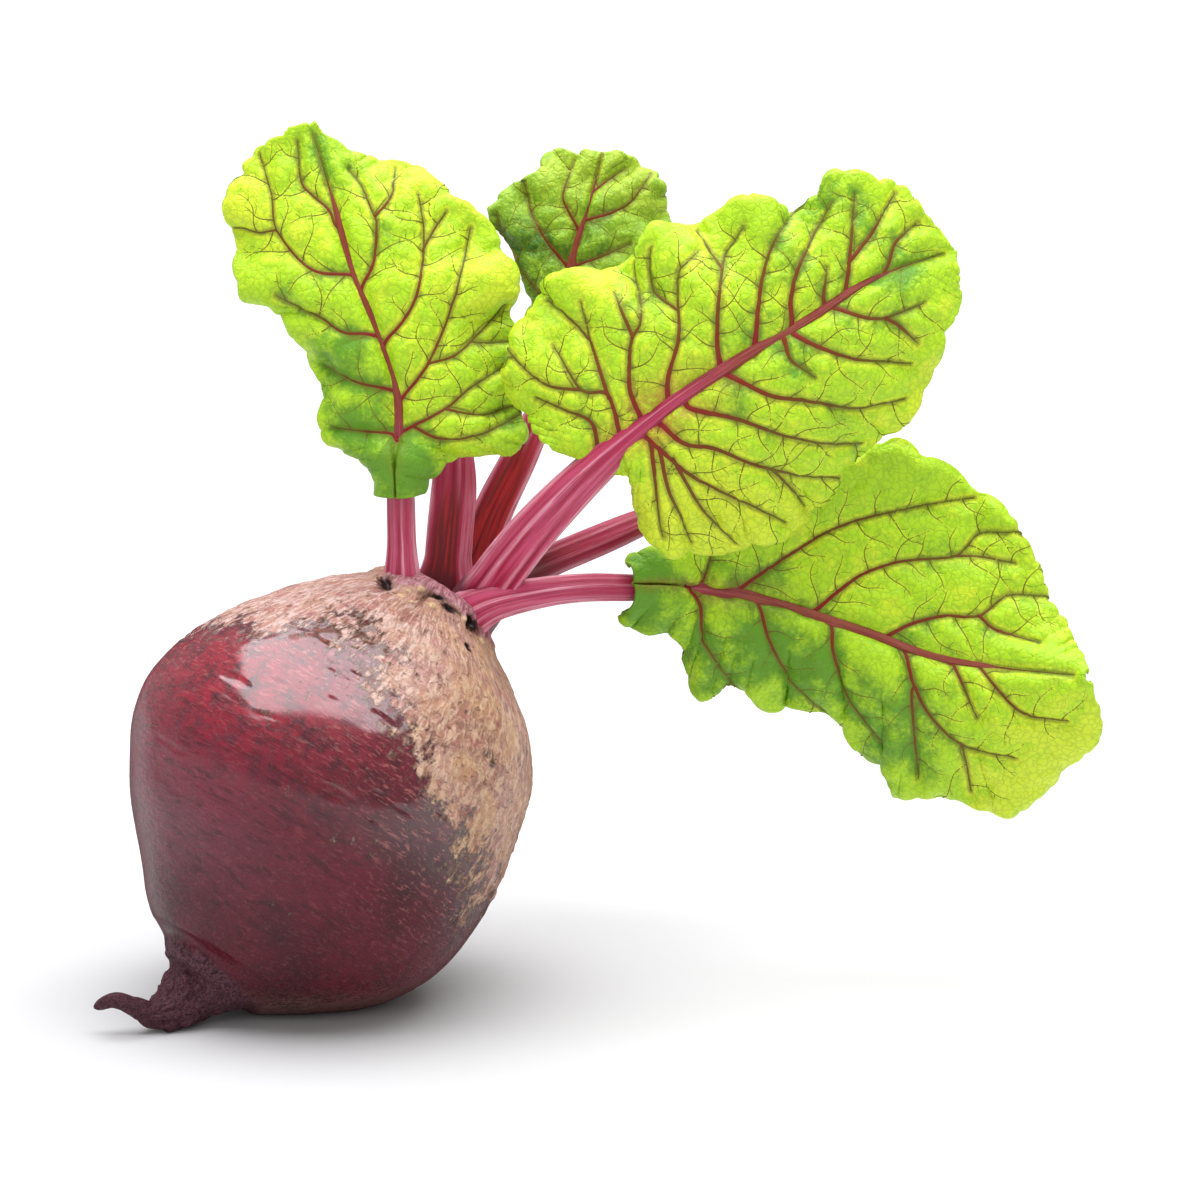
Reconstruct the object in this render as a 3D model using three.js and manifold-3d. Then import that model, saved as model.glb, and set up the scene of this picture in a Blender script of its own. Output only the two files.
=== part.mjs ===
// A beetroot as picked: one swollen root with its crown and tail, six leaf stalks and six leaf blades.
//
// Millimetres, +Z up. The origin is the centre of the small flat spot on which the root rests.
// The viewer stands on the -Y side, the leaves rise to the +X side, and the root's own axis leans
// from its tail, low at the front left, to its crown, high at the back right.
import * as THREE from "three";
import { mergeVertices } from "three/addons/utils/BufferGeometryUtils.js";
import Module from "manifold-3d";

const wasm = await Module();
wasm.setup();

const vec = (p) => new THREE.Vector3(...p);

// Root. The profile gives [height along the axis, radius], from the tail end to the crown.
const ROOT_CENTRE = vec([-2, 0, 42.5]);
const ROOT_AXIS = vec([0.5, 0.35, 0.79]).normalize();
const ROOT_PROFILE = [
  [-47, 0], [-46, 5], [-43, 10], [-40, 15], [-36.4, 20], [-32, 25], [-25, 31.2], [-16, 36.7],
  [-6, 39.7], [4, 40.3], [15, 38.2], [24, 34.4], [32, 28.6], [38, 21.8], [42, 16], [44.5, 13.2],
  [46.6, 11.4], [48, 7], [48.4, 0],
];
// How far the rings hang towards the underside: [height, shift].
const ROOT_SAG = [
  [-47, 1], [-36, 4], [-27, 5.5], [-16, 3.2], [-4, 0.5], [10, 0.3], [22, 1.8], [31, 2.6], [40, 1], [48.4, 0],
];
const ROOT_RINGS = 30;
const ROOT_SIDES = 40;

// Tail: [x, y, z, radius] from inside the root to the thin curled end, and the stub of a side root.
const TAIL = [
  [-17, -11, 17, 12], [-22.5, -15, 9.5, 8.2], [-26.5, -18, 6.5, 5.6], [-30, -20.5, 4.4, 4.1],
  [-33.5, -23, 4, 2.6], [-37, -24.5, 5.8, 1.8], [-40.5, -25.5, 7.4, 1.5], [-44.5, -26, 6, 1.1],
];
const TAIL_STUB = [
  [-27, -19.5, 6, 3.4], [-29.2, -22, 3, 2.6], [-30.6, -23.6, 0.9, 1.5],
];
const TAIL_SIDES = 12;

const GAP = 0.3; // clearance between touching pieces
const STALK_SIDES = 12;
const STALK_STEPS_PER_POINT = 3;
const BLADE_THICKNESS = 0.8;
const CELLS_PER_HALF = 5;
const SCALLOP_DEPTH = 1.1;

// Leaves. The spine runs from the crown up the stalk and along the midrib to the tip. The blade starts
// at the spine point bladeFrom, and the midrib ends midribRows of its rowsAlong further on. stalk gives
// [point, half width], flat the stalk's thickness over its width and channel how hollow its seen face
// is. up is where that face looks. left and right are the blade's edges from base to tip, as seen with
// the tip up; scallops is the number of rounded teeth on each and arch how far the tissue stands out.
const LEAVES = {
  left: {
    spine: [
      [15, 9, 80], [15, 7, 92], [15, 5, 103], [15, 3.5, 114], [14.5, 3, 124], [11, 3.5, 135],
      [6, 6, 147], [2.5, 9.5, 159], [-2.5, 15, 174.5],
    ],
    bladeFrom: 2, rowsAlong: 30, midribRows: 27,
    stalk: [[0, 4.2], [0.5, 3], [2, 2.7], [3, 2.3], [4, 1.8], [5, 1.3], [7.4, 0.6]], flat: 0.9, channel: 0.1,
    up: [-0.2, -0.96, 0.1],
    left: [
      [11, 5, 103], [9, 6, 109.5], [-0.5, 9, 113], [-1.5, 8, 121], [-3.5, 12, 128.5], [-8, 10, 136],
      [-12.5, 14, 140.5], [-18.5, 12, 143.5], [-18.5, 16, 151.5], [-20.5, 14, 159.5], [-16.5, 17, 167],
      [-9, 16, 173], [-2.5, 15, 174.5],
    ],
    right: [
      [19, 5, 103.5], [21, 5, 107], [27, 7, 110.5], [39.5, 5, 112], [40, 9, 120], [37.5, 7, 128.5],
      [38.5, 11, 136], [39.5, 8, 145.5], [35, 13, 153.5], [27.5, 11, 162], [16, 15, 167.5],
      [4.5, 14, 170], [-2.5, 15, 174.5],
    ],
    scallops: 9, arch: 1.5,
  },
  right: {
    spine: [
      [27, 15, 74], [38, 4, 91], [47, -3, 102.5], [57, -7.5, 113], [68.5, -10, 123], [81, -11, 131.5],
      [94, -10, 139], [107, -6, 146.5], [123, 3, 151],
    ],
    bladeFrom: 2.7, rowsAlong: 32, midribRows: 29,
    stalk: [[0, 5], [1, 4.6], [2, 4.2], [3, 3.4], [4, 2.1], [5, 1.6], [6, 1.2], [7.5, 0.6]],
    flat: 0.6, channel: 0.45,
    up: [0.1, -0.96, 0.25],
    left: [
      [50.5, -6, 113.5], [43, -3, 115.5], [36, 2, 122.5], [35, -1, 131.5], [39, 3, 139], [46, -1, 148.5],
      [57, 2, 148.5], [62, -3, 156], [72.5, 1, 158.5], [83.5, -4, 164], [92, 1, 160], [99, -2, 167.5],
      [110, 3, 166], [118.5, 2, 158.5], [123, 3, 151],
    ],
    right: [
      [58, -6, 106], [64.5, -6, 107.5], [63.5, -3, 98.5], [68.5, -7, 91.5], [78, -2, 91], [88, -6, 93.5],
      [97, -1, 98], [102.5, -5, 106.5], [108, 0, 111.5], [114, -3, 116.5], [119.5, 1, 124.5],
      [123, -1, 134], [125, 3, 140.5], [124, 2, 146], [123, 3, 151],
    ],
    scallops: 11, arch: 1.8,
  },
  top: {
    spine: [
      [25, 20, 74], [32, 28, 93], [39, 31.5, 107], [44.5, 35.5, 119.5], [47.5, 39, 132],
      [49, 41.5, 145], [52.5, 43.5, 156], [55, 46, 166],
    ],
    bladeFrom: 3.1, rowsAlong: 24, midribRows: 21,
    stalk: [[0, 4.2], [1, 3.9], [2, 3.4], [3, 2.4], [4, 1.7], [5, 1.2], [6.5, 0.6]], flat: 0.6, channel: 0.6,
    up: [-0.1, -0.97, -0.05],
    left: [
      [41, 36, 122], [40.5, 39, 128], [39.5, 42, 135], [37.5, 41, 143], [34, 44, 149.5],
      [30.5, 43, 155.5], [34, 46, 158.5], [39, 45, 162], [44, 48, 165.5], [49.5, 47, 166.5], [55, 46, 166],
    ],
    right: [
      [49, 36, 120.5], [52, 39, 126.5], [55.5, 42, 132.5], [61, 41, 137.5], [66, 44, 142],
      [69.5, 43, 148.5], [70.5, 46, 153.5], [67.5, 45, 160.5], [63.5, 48, 163.5], [59.5, 47, 166],
      [55, 46, 166],
    ],
    scallops: 6, arch: 1.2,
  },
  low: {
    spine: [
      [24, 12, 73.5], [32, 8, 79.3], [43, 7, 82], [51.5, 10, 82.3], [60, 14, 81.5], [71.5, 17.5, 80.5],
      [84, 19.5, 78.5], [97, 20, 74.5], [110, 19, 70.5], [122, 17.5, 66.5], [135, 14, 65], [152.5, 8, 64.5],
    ],
    bladeFrom: 4, rowsAlong: 32, midribRows: 29,
    stalk: [[0, 4.2], [1, 3.8], [2, 3], [4, 2.7], [5, 2.2], [6, 1.8], [8, 1.2], [10.4, 0.6]],
    flat: 0.75, channel: 0.3,
    up: [0.1, -0.88, 0.45],
    left: [
      [60, 14, 86], [61.5, 16, 88.5], [75.5, 19, 93.5], [90, 21, 101.5], [103, 24, 107.5], [116, 23, 110.5],
      [129, 27, 102.5], [139, 24, 95], [145.5, 22, 82.5], [150.5, 17, 71], [152.5, 8, 64.5],
    ],
    right: [
      [60, 14, 77], [59.5, 17, 72.5], [70, 18, 69.5], [74.5, 23, 55.5], [82, 20, 58.5], [90.5, 25, 52.5],
      [101, 22, 53], [108, 27, 43.5], [113.5, 24, 40], [116.5, 28, 32.5], [129, 24, 33.5], [139, 26, 29.5],
      [149.5, 20, 39], [156.5, 14, 51], [152.5, 8, 64.5],
    ],
    scallops: 10, arch: 1.8,
  },
  behind_left: {
    spine: [
      [22.5, 16, 74], [24, 19, 91], [25, 22, 103], [24.5, 26, 116.5], [22, 30, 131.5], [18, 36, 149],
    ],
    bladeFrom: 2.6, rowsAlong: 18, midribRows: 15,
    stalk: [[0, 4.6], [1, 4.6], [2, 4.3], [3, 2.4], [4.6, 0.6]], flat: 0.55, channel: 0.7,
    up: [0.15, -0.97, 0.1],
    left: [
      [20, 24.5, 111], [14, 26, 117], [11, 29, 125], [9, 31, 133], [9, 35, 141], [13, 36, 147], [18, 36, 149],
    ],
    right: [
      [29.8, 24.5, 111], [33.5, 28, 116], [36, 30, 124], [35, 34, 132], [31, 36, 140], [25, 38, 147], [18, 36, 149],
    ],
    scallops: 5, arch: 1.2,
  },
  behind_right: {
    spine: [
      [24, 16.5, 74], [32, 18, 80.5], [44.5, 21, 85.8], [58.5, 25, 91], [72, 31, 96], [86, 37, 104], [104, 43, 118],
    ],
    bladeFrom: 3.8, rowsAlong: 18, midribRows: 15,
    stalk: [[0, 3.6], [1, 3.6], [2, 3.2], [3, 3], [4, 2], [5.6, 0.6]], flat: 0.7, channel: 0.5,
    up: [0, -0.93, 0.35],
    left: [
      [68, 30, 99], [70, 33, 105], [76, 37, 113], [85, 41, 119], [94, 43, 123], [101, 44, 122], [104, 43, 118],
    ],
    right: [
      [71, 30, 91], [78, 35, 91], [87, 37, 94], [95, 41, 99], [101, 42, 105], [105, 44, 112], [104, 43, 118],
    ],
    scallops: 5, arch: 1.2,
  },
};

const COLOURS = { skin: 0x5c1a2c, stalk: 0xa8324f, blade: 0x9bc832 };

// A smooth curve through hand-set [place, value] pairs, read at one place.
function smooth(pairs, at) {
  const last = pairs.length - 1;
  const x = Math.min(Math.max(at, pairs[0][0]), pairs[last][0]);
  let i = 0;
  while (i < last - 1 && x > pairs[i + 1][0]) i++;
  const slope = (k) => {
    const [x0, y0] = pairs[Math.max(k - 1, 0)];
    const [x1, y1] = pairs[Math.min(k + 1, last)];
    return (y1 - y0) / (x1 - x0);
  };
  const [xa, ya] = pairs[i];
  const [xb, yb] = pairs[i + 1];
  const span = xb - xa;
  const t = (x - xa) / span;
  return (
    ya * (1 + 2 * t) * (1 - t) ** 2 +
    slope(i) * span * t * (1 - t) ** 2 +
    yb * t * t * (3 - 2 * t) -
    slope(i + 1) * span * t * t * (1 - t)
  );
}

// Closed mesh from equal rings of points: neighbours are joined by quads and both ends are capped.
function loft(rings) {
  const sides = rings[0].length;
  const points = rings.flat();
  const faces = [];
  for (let i = 0; i + 1 < rings.length; i++)
    for (let j = 0; j < sides; j++) {
      const a = i * sides + j;
      const b = i * sides + ((j + 1) % sides);
      faces.push(a, b, b + sides, a, b + sides, a + sides);
    }
  for (const [start, flip] of [[0, true], [(rings.length - 1) * sides, false]]) {
    const centre = points.length;
    points.push(
      points.slice(start, start + sides).reduce((sum, p) => sum.add(p), vec([0, 0, 0]))
        .divideScalar(sides),
    );
    for (let j = 0; j < sides; j++) {
      const a = start + j;
      const b = start + ((j + 1) % sides);
      faces.push(...(flip ? [b, a, centre] : [a, b, centre]));
    }
  }
  return solidFrom(points, faces);
}

function solidFrom(points, faces) {
  return new wasm.Manifold(
    new wasm.Mesh({
      numProp: 3,
      vertProperties: new Float32Array(points.flatMap((p) => [p.x, p.y, p.z])),
      triVerts: new Uint32Array(faces),
    }),
  );
}

function solidFromGeometry(geometry) {
  geometry.deleteAttribute("normal");
  geometry.deleteAttribute("uv");
  const merged = mergeVertices(geometry, 1e-3);
  return new wasm.Manifold(
    new wasm.Mesh({
      numProp: 3,
      vertProperties: merged.attributes.position.array,
      triVerts: new Uint32Array(merged.index.array),
    }),
  );
}

function meshFrom(solid, name, colour, roughness) {
  const largest = solid.decompose().sort((a, b) => b.volume() - a.volume())[0];
  const { vertProperties, triVerts } = largest.getMesh();
  const geometry = new THREE.BufferGeometry()
    .setAttribute("position", new THREE.BufferAttribute(vertProperties, 3))
    .setIndex(new THREE.BufferAttribute(triVerts, 1));
  geometry.computeVertexNormals();
  const material = new THREE.MeshStandardMaterial({ color: colour, roughness, metalness: 0 });
  const mesh = new THREE.Mesh(geometry, material);
  mesh.name = name;
  return mesh;
}

// The root's axis with the sideways directions: under points as far down as the axis allows.
const DOWN = vec([0, 0, -1]);
const UNDER = DOWN.clone().addScaledVector(ROOT_AXIS, -DOWN.dot(ROOT_AXIS)).normalize();
const FLANK = new THREE.Vector3().crossVectors(UNDER, ROOT_AXIS);

// The swollen root: a lathe profile laid along the axis, a little out of round, its rings hanging.
function rootBody(grow = 0) {
  const profile = new THREE.SplineCurve(ROOT_PROFILE.map(([h, r]) => new THREE.Vector2(r, h)))
    .getPoints(ROOT_RINGS)
    .map((p) => new THREE.Vector2(Math.max(p.x, 0), p.y));
  profile[0].x = 0;
  profile.at(-1).x = 0;
  const geometry = new THREE.LatheGeometry(profile, ROOT_SIDES);
  const position = geometry.attributes.position;
  for (let i = 0; i < position.count; i++) {
    const height = position.getY(i);
    const radius = Math.hypot(position.getX(i), position.getZ(i));
    const turn = Math.atan2(position.getZ(i), position.getX(i));
    const outOfRound =
      1 + 0.012 * Math.sin(2 * turn + 1.1 + 0.03 * height) + 0.008 * Math.sin(3 * turn + 0.05 * height + 2);
    const reach = radius * outOfRound * (1 + grow / 40);
    const p = ROOT_CENTRE.clone()
      .addScaledVector(ROOT_AXIS, height * (1 + grow / 45))
      .addScaledVector(UNDER, reach * Math.cos(turn) + smooth(ROOT_SAG, height))
      .addScaledVector(FLANK, reach * Math.sin(turn));
    position.setXYZ(i, p.x, p.y, p.z);
  }
  return solidFromGeometry(geometry);
}

// A round tube of changing radius along [x, y, z, radius] points.
function taperedTube(path, sides, stepsPerPoint = 3) {
  const curve = new THREE.CatmullRomCurve3(path.map(([x, y, z]) => vec([x, y, z])), false, "catmullrom");
  const radii = path.map((p, i) => [i, p[3]]);
  const steps = (path.length - 1) * stepsPerPoint;
  const rings = [];
  for (let i = 0; i <= steps; i++) {
    const t = i / steps;
    const centre = curve.getPoint(t);
    const along = curve.getTangent(t);
    const across = new THREE.Vector3().crossVectors(along, vec([0, 0, 1])).normalize();
    const over = new THREE.Vector3().crossVectors(across, along);
    const radius = smooth(radii, t * (path.length - 1));
    rings.push(
      Array.from({ length: sides }, (_, j) => {
        const turn = (-2 * Math.PI * j) / sides;
        return centre.clone()
          .addScaledVector(across, radius * Math.cos(turn))
          .addScaledVector(over, radius * Math.sin(turn));
      }),
    );
  }
  return loft(rings);
}

// Everything of the root, cut level where it rests.
function root() {
  const soil = new THREE.BoxGeometry(400, 400, 40);
  soil.translate(0, 0, -20);
  return rootBody()
    .add(taperedTube(TAIL, TAIL_SIDES))
    .add(taperedTube(TAIL_STUB, TAIL_SIDES))
    .subtract(solidFromGeometry(soil));
}

const curveThrough = (points) => new THREE.CatmullRomCurve3(points.map(vec), false, "catmullrom");

// The spine place, counted in spine points, of one of the blade's rows.
const rowPlace = (leaf, row) => leaf.bladeFrom + (row / leaf.rowsAlong) * (leaf.spine.length - 1 - leaf.bladeFrom);

// Place and directions on a leaf's spine, at a place counted in spine points.
function spineFrame(leaf, at) {
  const last = leaf.spine.length - 1;
  leaf.curve ??= curveThrough(leaf.spine);
  const t = Math.min(Math.max(at / last, 0), 1);
  const point = leaf.curve.getPoint(t);
  const along = leaf.curve.getTangent(t);
  const across = new THREE.Vector3().crossVectors(along, vec(leaf.up)).normalize();
  const up = new THREE.Vector3().crossVectors(across, along);
  return { point, along, across, up };
}

// A stalk with its midrib: rounded at the back and channelled on the seen face.
function stalk(leaf, grow = 0) {
  const midribEnd = rowPlace(leaf, leaf.midribRows);
  const steps = Math.round(midribEnd * STALK_STEPS_PER_POINT);
  const rings = [];
  for (let i = 0; i <= steps; i++) {
    const at = (i / steps) * midribEnd;
    const { point, across, up } = spineFrame(leaf, at);
    const half = smooth(leaf.stalk, at);
    const wide = half + grow;
    const fadeToRound = Math.min(at / leaf.bladeFrom, 1) ** 2;
    const thick = half * (leaf.flat + (0.9 - leaf.flat) * fadeToRound) + grow;
    const channel = leaf.channel * (1 - fadeToRound);
    rings.push(
      Array.from({ length: STALK_SIDES }, (_, j) => {
        const turn = (-2 * Math.PI * j) / STALK_SIDES;
        const rise = Math.sin(turn) > 0 ? 1 - channel * Math.sin(turn) ** 2 : 1;
        return point.clone()
          .addScaledVector(across, wide * Math.cos(turn))
          .addScaledVector(up, thick * Math.sin(turn) * rise);
      }),
    );
  }
  return loft(rings);
}

// A point of a blade's middle surface: row runs from its base to its tip and far from its midrib, 0, to
// its edge, 1. Near the midrib it keeps slot clear. The edge's rise off the midrib's plane grows with the
// square of far, so the margin is what waves, and the tissue between stands out a little.
function bladePoint(leaf, row, side, far, slot) {
  const u = row / leaf.rowsAlong;
  const { point, along, up } = spineFrame(leaf, rowPlace(leaf, row));
  leaf.edges ??= { left: curveThrough(leaf.left), right: curveThrough(leaf.right) };
  const outer = leaf.edges[side].getPoint(u).sub(point);
  const rise = outer.dot(up);
  outer.addScaledVector(up, -rise);
  const phase = side === "left" ? -0.3 : 0.3;
  const tooth = Math.abs(Math.sin(Math.PI * (leaf.scallops * u + phase))) ** 0.7;
  const ends = Math.min(Math.sin(Math.PI * u) * 3, 1);
  outer.setLength(outer.length() - SCALLOP_DEPTH * ends * (1 - tooth));
  const inner = outer.clone().addScaledVector(along, -outer.dot(along)).setLength(slot);
  return point
    .addScaledVector(inner, 1 - far)
    .addScaledVector(outer, far)
    .addScaledVector(up, rise * far ** 2 + leaf.arch * ends * Math.sin(Math.PI * far ** 0.8));
}

// A blade: two halves that keep a slot for the midrib and join beyond its end. Both faces are split
// alike, and every open edge of the middle surface gets a wall.
function blade(leaf) {
  const rows = leaf.rowsAlong;
  const points = [];
  const numbers = new Map();
  const numberOf = (p) => {
    const key = p.toArray().map((value) => value.toFixed(3)).join(" ");
    if (!numbers.has(key)) numbers.set(key, points.push(p) - 1);
    return numbers.get(key);
  };
  const triangles = [];
  for (const side of ["left", "right"]) {
    const grid = Array.from({ length: rows + 1 }, (_, i) => {
      const slot = i <= leaf.midribRows ? smooth(leaf.stalk, rowPlace(leaf, i)) + GAP : 0;
      return Array.from({ length: CELLS_PER_HALF + 1 }, (_, j) =>
        numberOf(bladePoint(leaf, i, side, j / CELLS_PER_HALF, slot)),
      );
    });
    for (let i = 0; i < rows; i++)
      for (let j = 0; j < CELLS_PER_HALF; j++) {
        const [a, b, c, d] = [grid[i][j], grid[i][j + 1], grid[i + 1][j + 1], grid[i + 1][j]];
        for (const corners of [[a, b, c], [a, c, d]])
          if (new Set(corners).size === 3)
            triangles.push(side === "right" ? corners : corners.toReversed());
      }
  }
  const normals = points.map(() => vec([0, 0, 0]));
  for (const [a, b, c] of triangles) {
    const faceNormal = points[b].clone().sub(points[a]).cross(points[c].clone().sub(points[a]));
    for (const corner of [a, b, c]) normals[corner].add(faceNormal);
  }
  const faceAt = (offset) => points.map((p, i) => p.clone().addScaledVector(normals[i].normalize(), offset));
  const n = points.length;
  const edges = new Set(triangles.flatMap(([a, b, c]) => [a + " " + b, b + " " + c, c + " " + a]));
  const walls = [...edges]
    .map((edge) => edge.split(" ").map(Number))
    .filter(([a, b]) => !edges.has(b + " " + a))
    .flatMap(([a, b]) => [[b, a, n + a], [b, n + a, n + b]]);
  const back = triangles.map(([a, b, c]) => [n + a, n + c, n + b]);
  return solidFrom(
    [...faceAt(BLADE_THICKNESS / 2), ...faceAt(-BLADE_THICKNESS / 2)],
    [...triangles, ...back, ...walls].flat(),
  );
}

const beetroot = new THREE.Group();
beetroot.add(meshFrom(root(), "root", COLOURS.skin, 0.45));

// Each stalk is seated on the crown and yields to the stalks placed before it.
let taken = rootBody(GAP);
for (const name of ["low", "left", "right", "behind_left", "behind_right", "top"]) {
  const leaf = LEAVES[name];
  beetroot.add(meshFrom(stalk(leaf).subtract(taken), "stalk_" + name, COLOURS.stalk, 0.4));
  beetroot.add(meshFrom(blade(leaf), "blade_" + name, COLOURS.blade, 0.5));
  taken = taken.add(stalk(leaf, GAP));
}

export default beetroot;
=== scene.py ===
"""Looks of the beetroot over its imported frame: skin, crown, tail, ribbed stalks, waved blades and veins.

Tables are in millimetres in the frame's own axes, and meshes are made in metres. The forms of the root,
stalks and blades repeat the formulas of the solids that they stand for, on finer grids.
"""

import bpy
import numpy as np
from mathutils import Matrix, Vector


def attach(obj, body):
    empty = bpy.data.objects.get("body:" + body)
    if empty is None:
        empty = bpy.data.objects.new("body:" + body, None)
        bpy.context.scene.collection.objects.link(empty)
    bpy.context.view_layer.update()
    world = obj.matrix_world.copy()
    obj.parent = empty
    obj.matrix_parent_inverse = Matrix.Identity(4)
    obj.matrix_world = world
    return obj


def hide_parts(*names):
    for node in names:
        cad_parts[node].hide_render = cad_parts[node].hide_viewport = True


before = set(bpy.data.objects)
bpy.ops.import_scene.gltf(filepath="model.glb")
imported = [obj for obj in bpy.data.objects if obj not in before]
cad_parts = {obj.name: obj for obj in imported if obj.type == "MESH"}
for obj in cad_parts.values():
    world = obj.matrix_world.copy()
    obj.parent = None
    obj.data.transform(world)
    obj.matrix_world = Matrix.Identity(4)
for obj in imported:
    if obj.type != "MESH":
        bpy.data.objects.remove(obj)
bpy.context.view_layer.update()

MM = 0.001

# Root: places along its axis, in millimetres, run up to the crown. Rings of ROOT_PROFILE's radius stand on it
# from BODY_START up, pulled down by ROOT_SAG, and rings on the tail's path take the place of what is below.
ROOT_CENTRE = np.array([-2, 0, 42.5])
ROOT_AXIS = np.array([0.5, 0.35, 0.79]) / np.linalg.norm([0.5, 0.35, 0.79])
ROOT_PROFILE = [
    [-47, 0], [-46, 5], [-43, 10], [-40, 15], [-36.4, 20], [-32, 25], [-25, 31.2], [-16, 36.7],
    [-6, 39.7], [4, 40.3], [15, 38.2], [24, 34.4], [32, 28.6], [38, 21.8], [42, 16], [44.5, 13.2],
    [46.6, 11.4], [48, 7], [48.4, 0],
]
ROOT_SAG = [
    [-47, 1], [-36, 4], [-27, 5.5], [-16, 3.2], [-4, 0.5], [10, 0.3], [22, 1.8], [31, 2.6], [40, 1],
    [48.4, 0],
]
BODY_START = -38.0
CROWN_TOP = 48.4
# The tail goes on from the body's lower end, and a stub of a side root grows from it: [x, y, z, radius].
TAIL = [
    [-22.6, -15.1, 9.6, 12], [-24.7, -16.6, 7.8, 7.9], [-26.7, -18, 6.4, 5.7], [-30, -20.5, 4.4, 4.1],
    [-33.5, -23, 4, 2.6], [-37, -24.5, 5.8, 1.8], [-40.5, -25.5, 7.4, 1.5], [-44.5, -26, 6, 1],
]
TAIL_STUB = [[-26, -18.6, 7, 3.8], [-28.2, -20.8, 4.4, 3], [-29.8, -22.6, 2.2, 2], [-30.9, -24, 0.9, 0.9]]
TAIL_RINGS = 80
BODY_RINGS = 236
ROOT_SIDES = 286
# Where the cork ends, as [turn in degrees, place along the axis], the scars of old leaves, as [across, down,
# half length, half width, tilt in degrees], and pale knobs, as [across, down, radius in millimetres].
# Across and down are places in the camera's 1200 x 1200 view, which half length and half width share.
CORK_BOUND = [
    [0, 8], [60, 1], [90, 4], [102, 11], [112, 19], [127, 25], [150, 26], [177, 23], [201, 20], [240, 16],
    [300, 12], [360, 8],
]
SCARS = [
    [384, 583, 7, 4.4, 5], [374, 567, 13, 3.6, 8], [437, 597, 10, 2.2, -20], [449, 608, 10, 3, -33],
    [471, 624, 11, 3.6, -62], [470, 648, 6, 1.8, -55],
]
KNOBS = [
    [402, 594, 0.75], [392, 591, 0.5], [423, 590, 0.75], [435, 603, 0.8], [414, 600, 0.6], [427, 600, 0.5],
    [448, 622, 0.6], [459, 634, 0.6], [484, 640, 0.7], [466, 617, 0.6], [409, 589, 0.5], [440, 614, 0.5],
]

# Leaves, as the solids have them. spine runs from the crown to the tip, up points out of the side that is
# seen, left and right are the margins from the blade's foot to its tip, and stalk has half widths at points
# of the spine. The blade starts at the spine's point "from", and the midrib ends at a share of its length,
# midrib over rows. flat is the thickness of the stalk's foot over its width, channel how hollow its seen face
# is there, scallops the waves of a margin, arch the rise of the tissue beside the midrib, and grid the
# blade's rows and columns.
# veins are the courses of the side veins as the camera sees them, in places [across, down] of its view, from
# the midrib outwards and with forks on their own, and vein is half the width that they start with. tones are
# [across, down, radius, amount] in the same view: deeper green above 0 and yellower below, partly the leaf's
# own greens and partly painted shade where a blade faces away from the lamps and painted light where it
# faces them.
# Some leaves have more: cover lifts the blade's foot in front of the stalk, slim narrows the midrib, flare
# widens the stalk's foot and shaded is the length of its dark stretch, painted shade over the crown between
# the stalks, brown turns the midrib brown nearer its foot, rosy reddens the tissue there, dark turns the
# stalk's seen face deep red, partly its own colour and partly painted shade, and rim keeps the right side
# of it pale as a painted sheen of its lit edge.
SCALLOP_DEPTH = 1.5
TOOTH_DEPTH = 1.3
BLADE_HALF_THICKNESS = 0.28
STALK_STEPS = 170
STALK_SIDES = 56
VEIN_SIDES = 6
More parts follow.
